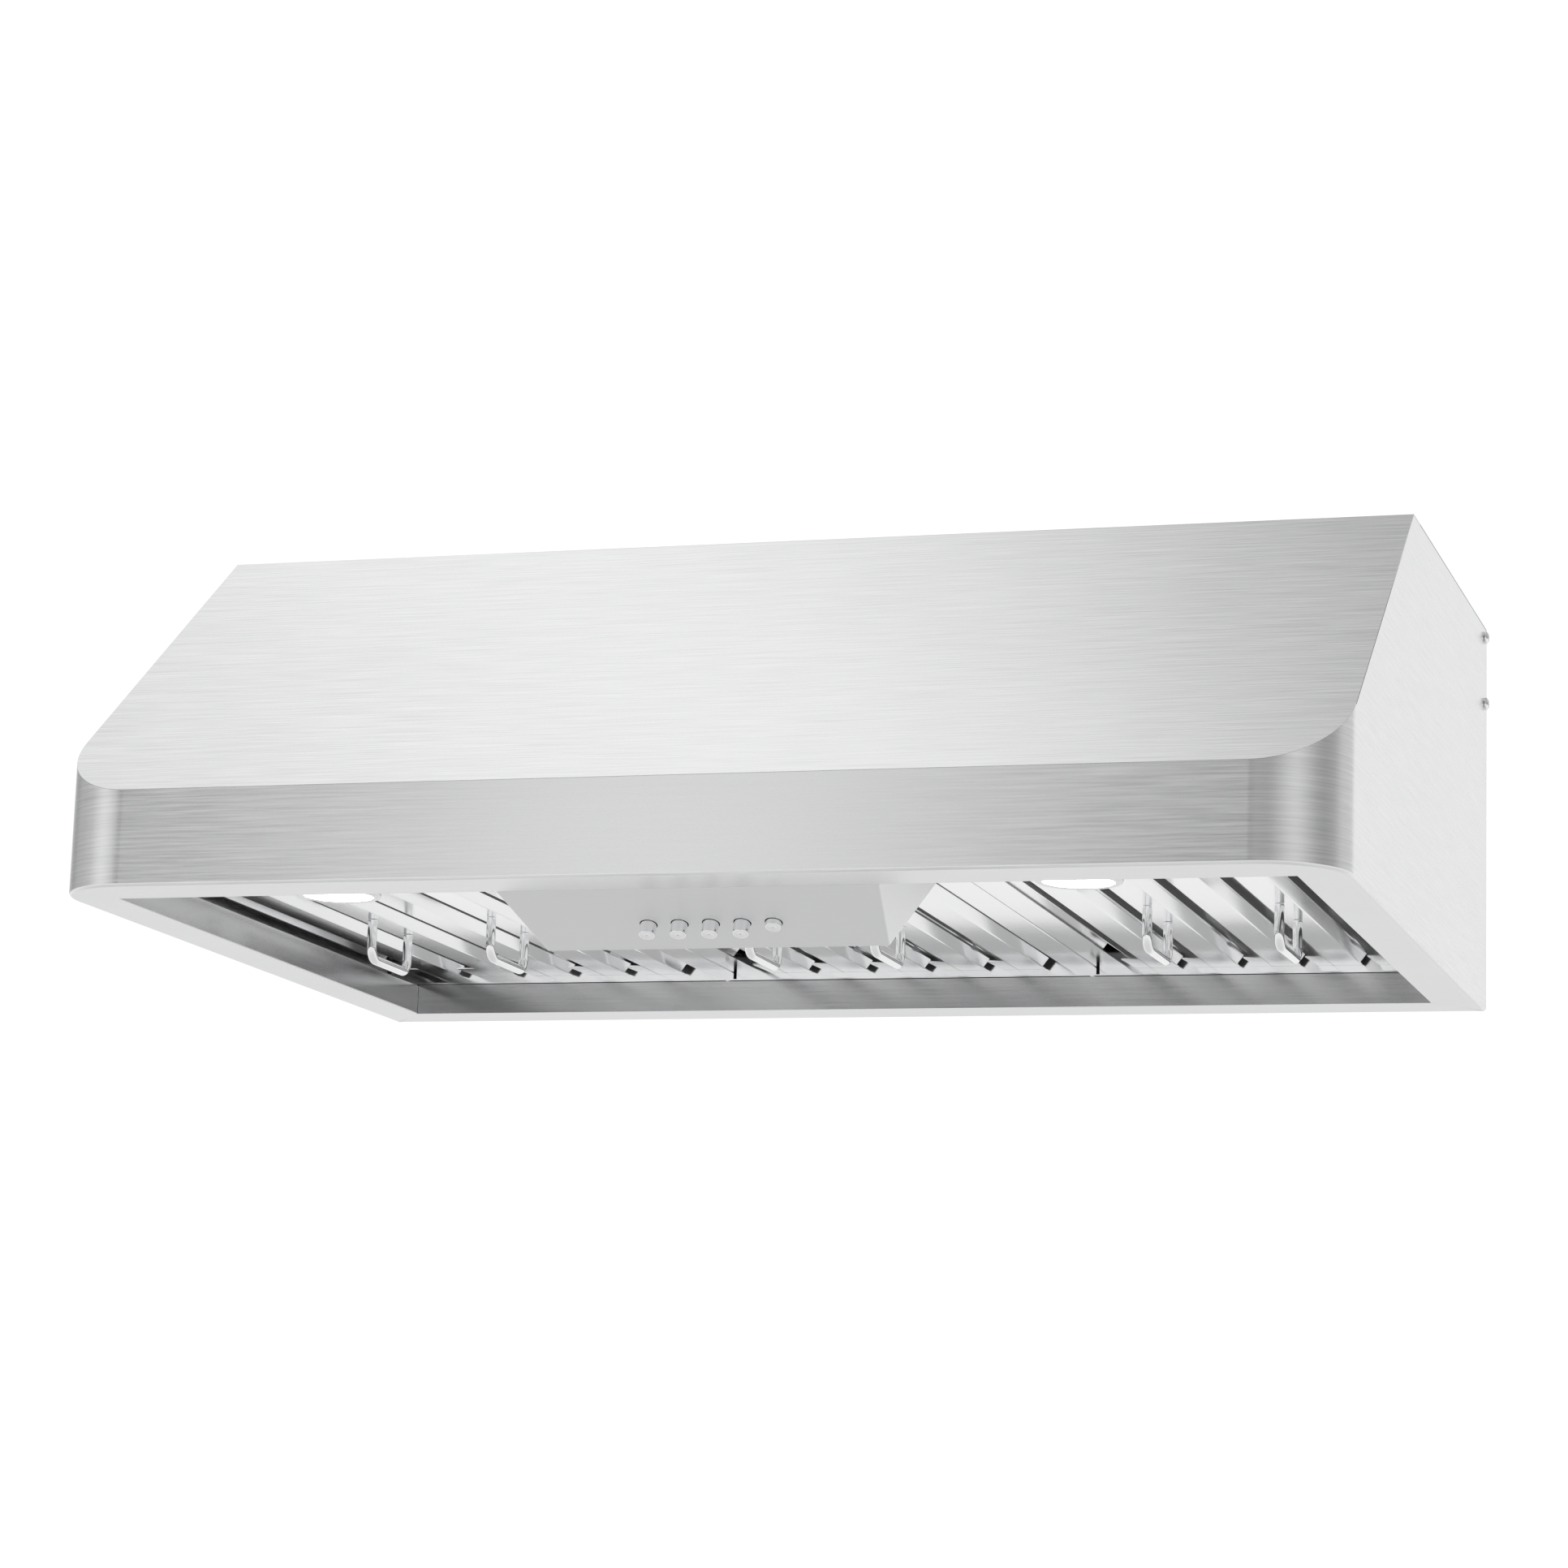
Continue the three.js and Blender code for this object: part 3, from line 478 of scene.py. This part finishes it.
# Side walls and band, swept down to the rim, in along it, up the upstand and out along the ledge.
def makeWrap():
    sheet = canopy["sheet"]
    underPanel = 0.3 * mm
    stops = np.array([0, openBack, -0.12, -0.2, -canopy["topDepth"] + 1e-4, -0.40, -0.46])
    points, normals, run = planPath(stops)
    count = len(points)
    top = np.minimum(slopeHeight(points[:, 1]) - underPanel, topZ - sheet - canopy["gap"])
    bend = canopy["bend"]
    edge = canopy["edgeBend"]
    inner = np.stack([np.clip(points[:, 0], -openSide, openSide),
                      np.clip(points[:, 1], openFront, openBack - canopy["gap"])], -1)
    onArc = points[:, 1] < openFront
    inner[onArc, 1] = openFront
    rows = []
    maps = []

    def addRow(xy, z, uv):
        rows.append(np.concatenate([xy, np.broadcast_to(z, count)[:, None]], -1))
        maps.append(uv)

    for share in (0.0, 0.5, 1.0):
        z = top + (floorZ + bend - top) * share
        addRow(points, z, np.stack([run, z], -1))
    for across, up in arcPoints((bend, bend), bend, 180, 270, canopy["bendSteps"])[1:]:
        addRow(points - normals * across, floorZ + up, np.stack([run, np.full(count, floorZ + up)], -1))
    rimOuter = points - normals * bend
    inward = inner - rimOuter
    inward /= np.linalg.norm(inward, axis=1)[:, None]
    rimInner = inner - inward * edge
    for share in (0.02, 0.98):
        xy = rimOuter + (rimInner - rimOuter) * share
        addRow(xy, floorZ, xy)
    # the opening has square corners, so its bends step in x and y and not along inward
    squareIn = inner - np.stack([np.sign(inner[:, 0]) * (np.abs(points[:, 0]) >= openSide) * -edge,
                                 (points[:, 1] <= openFront) * edge], -1)
    toCorner = inner - squareIn
    for across, up in arcPoints((0, 1), 1, 270, 360, 4)[1:]:
        xy = squareIn + toCorner * across
        addRow(xy, floorZ + edge * up, xy)
    ledgeTop = floorZ + canopy["ledgeHeight"]
    for share in (0.5, 1.0):
        z = floorZ + edge + (ledgeTop - edge - floorZ - edge) * share
        addRow(inner, np.full(count, z), np.stack([run, np.full(count, z)], -1))
    outward = -toCorner / edge
    for across, up in arcPoints((1, 0), 1, 180, 90, 3)[1:]:
        addRow(inner + outward * edge * across, ledgeTop - edge + edge * up, inner + outward * across)
    addRow(inner + outward * canopy["ledgeWidth"], ledgeTop, inner + outward * canopy["ledgeWidth"])
    grid = np.stack(rows)
    mesh = meshFrom("bodyWrap", grid, gridFaces(len(rows), count))
    setMap(mesh, np.stack(maps))
    piece = newObject("bodyWrap", mesh, canopySteel)
    recalc(mesh)
    orient(mesh, lambda centre: centre[0] > halfWidth - 1e-4, (1, 0, 0))
    thicken(piece, sheet)
    piece.modifiers["wall"].use_even_offset = False
    evenShade(piece)
    paintRimAndUpstandShade(mesh)
    place(piece, "hood", "brushed_steel", "body_wrap")


# Gives the rim its own finish, and the faces round the opening, up to the ledge, a darker steel: painted
# shade standing in for the shadow on the upstand.
def paintRimAndUpstandShade(mesh):
    mesh.materials.append(upstandSteel)
    mesh.materials.append(rimSteel)
    reach = canopy["ledgeWidth"] + 1 * mm
    for face in mesh.polygons:
        x, y, z = face.center
        inside = abs(x) < openSide + reach and openFront - reach < y < openBack + reach
        if inside and floorZ + 0.3 * mm < z < floorZ + canopy["ledgeHeight"] + 0.2 * mm:
            face.material_index = 1
        elif z < floorZ + 0.2 * mm and face.normal.z < -0.9:
            face.material_index = 2


# Turns the whole surface round if the faces picked by test do not face along way.
def orient(mesh, test, way):
    way = Vector(way)
    score = sum(f.normal.dot(way) * f.area for f in mesh.polygons if test(f.center))
    if score < 0:
        mesh.flip_normals()


# Plate over the slope: half width w(s) = corner centre + sqrt(r^2 - (r - s)^2) over the first r of
# plan depth, then straight; its top edge bends onto the flat top and runs back a little.
def makeSlopedPanel():
    sheet = canopy["sheet"]
    radius = canopy["cornerRadius"]
    foldRadius = 3 * mm
    foldStart = slopeRun - foldRadius * math.tan(slopeAngle / 2) * math.cos(slopeAngle)
    lift = np.concatenate([radius * (1 - np.cos(np.radians(np.linspace(0, 90, 33)))),
                           np.linspace(radius, foldStart, 9)[1:]])
    half = halfWidth - radius + np.sqrt(np.clip(radius ** 2 - np.clip(radius - lift, 0, None) ** 2, 0, None))
    y = -depth + lift
    z = slopeHeight(y)
    length = lift / math.cos(slopeAngle)
    turn = np.linspace(slopeAngle, 0, 7)[1:]
    cy = y[-1] + foldRadius * math.sin(slopeAngle)
    cz = z[-1] - foldRadius * math.cos(slopeAngle)
    y = np.concatenate([y, cy - foldRadius * np.sin(turn), [float(panelHigh[1])]])
    z = np.concatenate([z, cz + foldRadius * np.cos(turn), [topZ]])
    length = np.concatenate([length, length[-1] + foldRadius * (slopeAngle - turn), [length[-1] + 0.03]])
    half = np.concatenate([half, np.full(len(turn) + 1, halfWidth)])
    across = np.linspace(-1, 1, 17)
    x = half[:, None] * across[None]
    grid = np.stack([x, np.broadcast_to(y[:, None], x.shape), np.broadcast_to(z[:, None], x.shape)], -1)
    mesh = meshFrom("slopedPanel", grid, gridFaces(len(y), len(across)))
    setMap(mesh, np.stack([x, np.broadcast_to(length[:, None], x.shape)], -1))
    orient(mesh, lambda centre: True, (0, -1, 1))
    piece = newObject("slopedPanel", mesh, canopySteel)
    thicken(piece, sheet)
    soften(piece, 0.4 * mm, 3, 60)
    evenShade(piece)
    place(piece, "hood", "brushed_steel", "sloped_front_panel")


print("bending the canopy")
makeWrap()
makeSlopedPanel()
backPanel = softCopy("back_panel", "backPanel", 0.35 * mm, rimSteel)
paintRimAndUpstandShade(backPanel.data)
place(backPanel, "hood", "rim_steel", "back_panel")
place(softCopy("top_panel", "topPanel", 0.3 * mm, zinc), "hood", "galvanised", "top_panel")
place(softCopy("front_shelf", "frontShelf", 0.3 * mm, mirrorSteel), "hood", "brushed_steel", "front_shelf")


# ---- filters

filters = dict(
    strip=20 * mm,
    sheet=0.8 * mm,
    frameBend=0.8 * mm,
    railTrim=0.85 * mm,   # each rail stops this far short of the frame's corner
    count=5,
    inset=25 * mm,
    rise=7.7 * mm,
    wingRise=6 * mm,
    halfFace=9.6 * mm,
    halfWing=14.2 * mm,
    upperDrop=3 * mm,
    bend=1.4 * mm,
    endTuck=1 * mm,
    lowerShort=11 * mm,   # how far the wings stop before the frame's outer edge
    upperShort=40 * mm,
    tabLength=37 * mm,
    tabFront=12 * mm,     # flat tab left of each face, running into the rear rail
    tabBack=10 * mm,
)


# Channel rail of a frame: a C section, open towards the baffles.
def frameRail(start, end, inward, low, high):
    start = np.asarray(start, float)
    end = np.asarray(end, float)
    inward = np.asarray(inward, float)
    along = (end - start) / np.linalg.norm(end - start)
    r = filters["frameBend"]
    reach = filters["strip"]
    section = np.concatenate([
        [(reach, low)],
        arcPoints((r, low + r), r, 270, 180, 4),
        arcPoints((r, high - r), r, 180, 90, 4),
        [(reach, high)],
    ])
    trim = along * filters["railTrim"]
    rows = [np.stack([start + inward * d + trim, end + inward * d - trim]) for d, _ in section]
    flat = np.stack(rows)
    z = np.broadcast_to(section[:, 1][:, None, None], (len(section), 2, 1))
    return np.concatenate([flat, z], -1)


def joinGrids(name, grids, material):
    points = []
    faces = []
    first = 0
    for grid in grids:
        rows, columns = grid.shape[:2]
        faces += gridFaces(rows, columns, first=first)
        points.append(grid.reshape(-1, 3))
        first += rows * columns
    mesh = meshFrom(name, np.concatenate(points), faces)
    return newObject(name, mesh, material)


def makeFrame(side):
    low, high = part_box(f"filter_{side}_frame")
    sideLow = low[2] + filters["rise"]
    corners = [(low[0], low[1]), (high[0], low[1]), (high[0], high[1]), (low[0], high[1])]
    ways = [(0, 1), (-1, 0), (0, -1), (1, 0)]
    levels = [low[2], sideLow, low[2], sideLow]
    grids = [frameRail(corners[i], corners[(i + 1) % 4], ways[i], levels[i], high[2]) for i in range(4)]
    piece = joinGrids(f"filterFrame_{side}", grids, mirrorSteel)
    orient(piece.data, lambda centre: centre[2] < low[2] + 1e-4, (0, 0, -1))
    thicken(piece, filters["sheet"])
    soften(piece, 0.15 * mm, 1, 60)
    evenShade(piece)
    place(piece, f"filter_{side}", "polished_steel", f"filter_{side}_frame")


# One baffle: a flat face with a wing each side, bent back. Columns run across it; the wings stop
# short of the rails, and the face goes on into them.
def baffleGrid(x, halfFace, halfWing, face, wing, front, back, short):
    r = filters["bend"]
    way = math.copysign(1, wing - face)
    lean = math.atan2(abs(wing - face), halfWing - halfFace)
    tangent = r * math.tan(lean / 2)
    turn = np.linspace(0, lean, 5)
    bendX = halfFace - tangent + r * np.sin(turn)
    bendZ = face + way * r * (1 - np.cos(turn))
    right = np.stack([np.append(bendX, halfWing), np.append(bendZ, wing)], -1)
    left = right[::-1] * (-1, 1)
    section = np.concatenate([left, right])
    onWing = np.abs(section[:, 0]) > halfFace + 0.2 * mm
    rows = []
    for share in (0, 0.002, 0.02, 0.25, 0.5, 0.75, 0.98, 0.998, 1):
        y0 = front + onWing * (short - filters["endTuck"])
        y1 = back - onWing * (short - filters["endTuck"])
        y = y0 + (y1 - y0) * share
        rows.append(np.stack([x + section[:, 0], y, section[:, 1]], -1))
    return np.stack(rows)


def makeBaffles(side, level):
    frameLow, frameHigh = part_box(f"filter_{side}_frame")
    middle = (frameLow[0] + frameHigh[0]) / 2
    inner = frameHigh[0] - frameLow[0] - 2 * filters["strip"]
    pitch = (inner - 2 * filters["inset"]) / (filters["count"] - 1)
    halfFace, halfWing = filters["halfFace"], filters["halfWing"]
    number = filters["count"] + (level == "upper")
    places = (np.arange(number) - (number - 1) / 2) * pitch
    if level == "lower":
        face = frameLow[2] + filters["rise"]
        wing = face + filters["wingRise"]
    else:
        face = frameHigh[2] - filters["upperDrop"]
        wing = face - filters["wingRise"]
    front = frameLow[1] + filters["endTuck"]
    back = frameHigh[1] - filters["endTuck"]
    short = filters[f"{level}Short"]
    grids = [baffleGrid(middle + p, halfFace, halfWing, face, wing, front, back, short) for p in places]
    if level == "lower":
        y0 = frameHigh[1] - filters["tabLength"]
        wide, narrow = filters["tabFront"], filters["tabBack"]
        for x in middle + places - halfFace:
            grids.append(np.array([[(x, y0, face), (x, back, face)],
                                   [(x - wide, y0, face), (x - narrow, back, face)]]))
    piece = joinGrids(f"{level}Baffles_{side}", grids, mirrorSteel if level == "lower" else innerSteel)
    orient(piece.data, lambda centre: True, (0, 0, -1))
    thicken(piece, filters["sheet"])
    soften(piece, 0.12 * mm, 1, 60)
    evenShade(piece)
    place(piece, f"filter_{side}", "polished_steel", f"filter_{side}_{level}_baffles")


handle = dict(rod=3 * mm, bend=8 * mm, bendSteps=14, sides=32)


# A U of round rod: two straight legs, two quarter circles and a straight bar.
def makeHandle(side, end):
    node = f"filter_{side}_handle_{end}"
    low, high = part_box(node)
    x = (low[0] + high[0]) / 2
    rod = handle["rod"]
    y0 = low[1] + rod
    y1 = high[1] - rod
    bar = low[2] + rod
    r = handle["bend"]
    near = arcPoints((y0 + r, bar + r), r, 180, 270, handle["bendSteps"])
    far = arcPoints((y1 - r, bar + r), r, 270, 360, handle["bendSteps"])
    line = np.concatenate([[(y0, high[2]), (y0, (high[2] + bar + r) / 2)], near,
                           [((y0 + y1) / 2, bar)], far, [(y1, (high[2] + bar + r) / 2), (y1, high[2])]])
    path = np.concatenate([np.full((len(line), 1), x), line], -1)
    piece = rodPiece(f"handle_{side}_{end}", path, rod, handle["sides"], chrome)
    place(piece, f"filter_{side}", "polished_steel", node)


print("folding the filters")
for side in ("left", "middle", "right"):
    makeFrame(side)
    makeBaffles(side, "lower")
    makeBaffles(side, "upper")
    makeHandle(side, "left")
    makeHandle(side, "right")


# ---- control box and buttons

controls = dict(
    halfWidth=113.7 * mm,
    sideSlope=0.415,
    plateRun=61.5 * mm,
    plateDrop=24.6 * mm,
    backRun=35.5 * mm,
    wall=1.2 * mm,
    edge=0.8 * mm,
    down=38 * mm,
    hole=5.25 * mm,
    count=5,
)
boxLow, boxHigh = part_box("control_box")
plateTilt = math.atan2(controls["plateDrop"], controls["plateRun"])
plateOut = Vector((0, -math.sin(plateTilt), -math.cos(plateTilt)))
plateDown = Vector((0, math.cos(plateTilt), -math.sin(plateTilt)))


# Wedge of five sides, open at the top, with slanting ends: half width = base + slope * height.
def makeControlBox():
    front = boxLow[1]
    top = boxHigh[2]
    ridge = front + controls["plateRun"]
    profile = [(front, top), (front, floorZ), (ridge, floorZ - controls["plateDrop"]), (boxHigh[1], top)]
    points = []
    for sign in (-1, 1):
        for y, z in profile:
            half = controls["halfWidth"] + controls["sideSlope"] * (z - floorZ)
            points.append((sign * half, y, z))
    faces = [(0, 1, 2, 3), (4, 7, 6, 5), (0, 4, 5, 1), (1, 5, 6, 2), (2, 6, 7, 3)]
    mesh = meshFrom("controlBox", points, faces)
    recalc(mesh)
    orient(mesh, lambda centre: centre[0] > 0.05, (1, 0, 0))
    piece = newObject("controlBox", mesh, plateSteel)
    soften(piece, controls["edge"], 4, 10)
    thicken(piece, controls["wall"])
    holes = []
    for i in range(controls["count"]):
        low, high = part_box(f"button_{i + 1}")
        x = (low[0] + high[0]) / 2
        centre = Vector((x, front, floorZ)) + controls["down"] * plateDown
        holes.append((centre, plateOut, controls["hole"]))
    applyAll(piece)
    drill(piece, holes, 4 * mm, 64)
    piece.data.polygons.foreach_set("use_smooth", [True] * len(piece.data.polygons))
    piece.data.set_sharp_from_angle(angle=math.radians(35))
    piece.data.materials.append(rimSteel)
    for face in piece.data.polygons:
        if abs(face.normal.x) > 0.85 and abs(face.center[0]) > 0.09:
            face.material_index = 1
    evenShade(piece)
    place(piece, "hood", "control_plate", "control_box")


button = dict(radius=4.75 * mm, proud=8 * mm, travel=4 * mm, inside=10 * mm, round=1.1 * mm, dish=0.5 * mm,
              tip=0.7 * mm)


# Push button: straight side, rounded rim, a shallow dish dish * (1 - (r / rim)^2) deep and a small dimple.
def makeButton(i):
    node = f"button_{i + 1}"
    low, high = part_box(node)
    x = (low[0] + high[0]) / 2
    latched = i == controls["count"] - 1
    proud = button["proud"] - (button["travel"] if latched else 0)
    r = button["radius"]
    bend = button["round"]
    rim = r - bend
    edge = arcPoints((rim, proud - bend), bend, 0, 90, 8)
    dishR = np.linspace(rim - 0.3 * mm, 0, 10)
    dishZ = proud - button["dish"] * (1 - (dishR / (rim - 0.3 * mm)) ** 2)
    tip = button["tip"]
    dimple = [(tip, dishZ[-1]), (0.8 * tip, dishZ[-1] - tip), (0, dishZ[-1] - 1.2 * tip)]
    foot = proud - button["proud"] - button["inside"]
    shank = [(0, foot), (r, foot)]
    profile = np.concatenate([shank, edge, np.stack([dishR, dishZ], -1)[:-1], dimple])
    seat = Vector((x, boxLow[1], floorZ)) + controls["down"] * plateDown
    piece = turnedPiece(f"button{i + 1}", profile, seat, plateOut, 64, chrome)
    evenShade(piece)
    place(piece, node, "polished_steel", node)


print("setting the controls")
makeControlBox()
for i in range(controls["count"]):
    makeButton(i)


# ---- lamps

lamp = dict(edge=2 * mm, lipRound=0.6 * mm, dome=0.6 * mm, power=12.0)


def makeLamp(side):
    low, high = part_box(f"lamp_bezel_{side}")
    lensLow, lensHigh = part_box(f"lamp_lens_{side}")
    centre = ((low[0] + high[0]) / 2, (low[1] + high[1]) / 2, 0)
    outer = (high[0] - low[0]) / 2
    lensR = (lensHigh[0] - lensLow[0]) / 2
    face = low[2]
    lip = lamp["lipRound"]
    edge = lamp["edge"]
    inner = lensR + 0.3 * mm
    profile = np.concatenate([
        [(5 * mm, high[2]), (outer, high[2])],
        arcPoints((outer - edge, face + edge), edge, 360, 270, 8),
        arcPoints((inner + lip, face + lip), lip, 270, 180, 5),
        [(inner, lensHigh[2] + 0.3 * mm), (5 * mm, lensHigh[2] + 0.3 * mm), (5 * mm, high[2])],
    ])
    bezel = turnedPiece(f"lampBezel_{side}", profile, centre, (0, 0, 1), 96, rimSteel)
    evenShade(bezel)
    place(bezel, "hood", "rim_steel", f"lamp_bezel_{side}")
    r = np.linspace(lensR - 0.5 * mm, 0, 12)
    dome = face + 0.2 * mm + lamp["dome"] * (r / lensR) ** 2
    profile = np.concatenate([[(0, lensHigh[2]), (lensR, lensHigh[2]), (lensR, face + 1.2 * mm)],
                              np.stack([r, dome], -1)])
    glass = litLens(f"litLens_{side}", (centre[0], centre[1], 0), lensR, lamp["power"])
    lens = turnedPiece(f"lampLens_{side}", profile, centre, (0, 0, 1), 96, glass)
    evenShade(lens)
    place(lens, "hood", "lamp_lens", f"lamp_lens_{side}")


print("fitting the lamps")
makeLamp("left")
makeLamp("right")


# ---- pieces that keep their CAD shape

finishes = dict(galvanised=zinc, rim_steel=rimSteel, polished_steel=chrome, motor_enamel=motorEnamel,
                black_plastic=blackMoulding, grey_plastic=greyMoulding)
print("finishing the inner pieces")
slots = {part["node"]: part["material_slot"] for part in frame["record"]["subparts"]}
bodyOf = {node: body for body, nodes in frame["record"]["behaviour"]["bodies"].items() for node in nodes}
for node, piece in list(frame["nodes"].items()):
    if not piece.hide_render:
        copy = softCopy(node, node.replace("_", ""), 0.2 * mm, finishes[slots[node]])
        place(copy, bodyOf[node], slots[node], node)

# ---- stage, light and camera

stage = dict(floor=-3.2, size=60.0, fadeFrom=3.0, fadeTo=10.0, near=0.2, glow=0.42)
print("lighting the stage")


# Pale floor whose glow rises from near, within fadeFrom metres, to glow beyond fadeTo: painted light for
# studio lamps falling on it, dimmer under the hood as painted shade.
def makeFloor():
    s = stage["size"]
    z = stage["floor"]
    mesh = meshFrom("floor", [(-s, -s, z), (s, -s, z), (s, s, z), (-s, s, z)], [(0, 1, 2, 3)])
    material, paint, shader = startMaterial("palePaint", Roughness=0.8)
    shader.inputs["Base Color"].default_value = (0.85, 0.85, 0.85, 1)
    spot = paint.node("ShaderNodeTexCoord", {}, {}, 3)
    far = paint.node("ShaderNodeVectorMath", {"operation": "LENGTH"}, {0: spot}, 1)
    glow = paint.node("ShaderNodeMapRange", {},
                      {0: far, 1: stage["fadeFrom"], 2: stage["fadeTo"], 3: stage["near"], 4: stage["glow"]})
    paint.put(shader.inputs["Emission Color"], paint.mix(glow, (0, 0, 0, 1), (1, 1, 1, 1)))
    shader.inputs["Emission Strength"].default_value = 1.0
    newObject("floor", mesh, material)


# The studio all round: a white sweep behind, grey walls in front with tall soft lights between them.
# ring and overhead are (heading in degrees, tone), low down and high up. The camera itself sees white.
def makeWorld():
    world = bpy.data.worlds.new("studio")
    scene.world = world
    world.use_nodes = True
    world.node_tree.nodes.clear()
    paint = Paint(world.node_tree)
    way = paint.node("ShaderNodeTexCoord", {}, {}, 0)
    parts = paint.tree.nodes.new("ShaderNodeSeparateXYZ")
    paint.put(parts.inputs[0], way)
    x, y, z = (Wire(paint, parts.outputs[k]) for k in range(3))
    heading = x.calc("ARCTAN2", y, x) / (2 * math.pi) + 0.5
    ring = [(-180, 0.54), (-166, 0.58), (-156, 0.76), (-146, 0.9), (-136, 0.82), (-126, 0.64), (-118, 0.22),
            (-114, 0.55), (-109, 1.35), (-105, 0.8), (-101, 0.2), (-92, 0.44), (-81, 0.39), (-71, 0.41),
            (-51, 0.66), (-40, 0.74), (-28, 0.62), (-12, 0.42), (0, 0.35), (18, 0.42), (32, 0.64), (62, 0.7),
            (70, 0.93), (84, 0.93), (96, 0.8), (118, 0.95), (126, 0.92), (135, 0.52), (150, 0.36), (165, 0.5)]
    ringStops = [((a + 180) / 360, v) for a, v in ring]
    level = paint.node("ShaderNodeValToRGB", {"stops": ringStops}, {0: heading})
    ringTone = paint.node("ShaderNodeRGBToBW", {}, {0: level})
    overhead = [(-180, 0.7), (60, 0.4), (106, 0.42), (112, 0.56), (118, 0.9), (127, 1.14), (133, 1.05),
                (140, 0.92), (160, 0.75)]
    overheadStops = [((a + 180) / 360, v) for a, v in overhead]
    above = paint.node("ShaderNodeValToRGB", {"stops": overheadStops}, {0: heading})
    aboveTone = paint.node("ShaderNodeRGBToBW", {}, {0: above})
    rise = paint.node("ShaderNodeMapRange", {"interpolation_type": "SMOOTHSTEP"},
                      {0: z, 1: math.sin(math.radians(24)), 2: math.sin(math.radians(44))})
    zenith = paint.node("ShaderNodeMapRange", {"interpolation_type": "SMOOTHSTEP"},
                        {0: z, 1: 0.78, 2: 0.92, 3: 0.92, 4: 1.06})
    tone = ringTone * (1.0 - rise) + aboveTone * zenith * rise
    lit = paint.node("ShaderNodeBackground", {}, {0: (1, 1, 1, 1), 1: tone})
    white = paint.node("ShaderNodeBackground", {}, {0: (1, 1, 1, 1), 1: 1.05})
    direct = paint.node("ShaderNodeLightPath")
    both = paint.node("ShaderNodeMixShader", {}, {0: direct, 1: lit, 2: white})
    output = paint.tree.nodes.new("ShaderNodeOutputWorld")
    paint.put(output.inputs[0], both)


view = dict(place=(0.7764, -2.8403, -0.5385), azimuth=17.19, elevation=10.93, roll=1.85, lens=100.97)


def makeCamera():
    data = bpy.data.cameras.new("camera")
    data.lens = view["lens"]
    data.sensor_width = 36
    camera = bpy.data.objects.new("camera", data)
    scene.collection.objects.link(camera)
    az = math.radians(view["azimuth"])
    el = math.radians(view["elevation"])
    roll = math.radians(view["roll"])
    ahead = Vector((-math.sin(az) * math.cos(el), math.cos(az) * math.cos(el), math.sin(el)))
    level = Vector((math.cos(az), math.sin(az), 0))
    over = level.cross(ahead)
    right = level * math.cos(roll) + over * math.sin(roll)
    up = right.cross(ahead)
    turn = Matrix((right, up, -ahead)).transposed().to_4x4()
    camera.matrix_world = Matrix.Translation(Vector(view["place"])) @ turn
    scene.camera = camera


makeFloor()
makeWorld()
makeCamera()
scene.view_settings.view_transform = "Standard"

print("done")
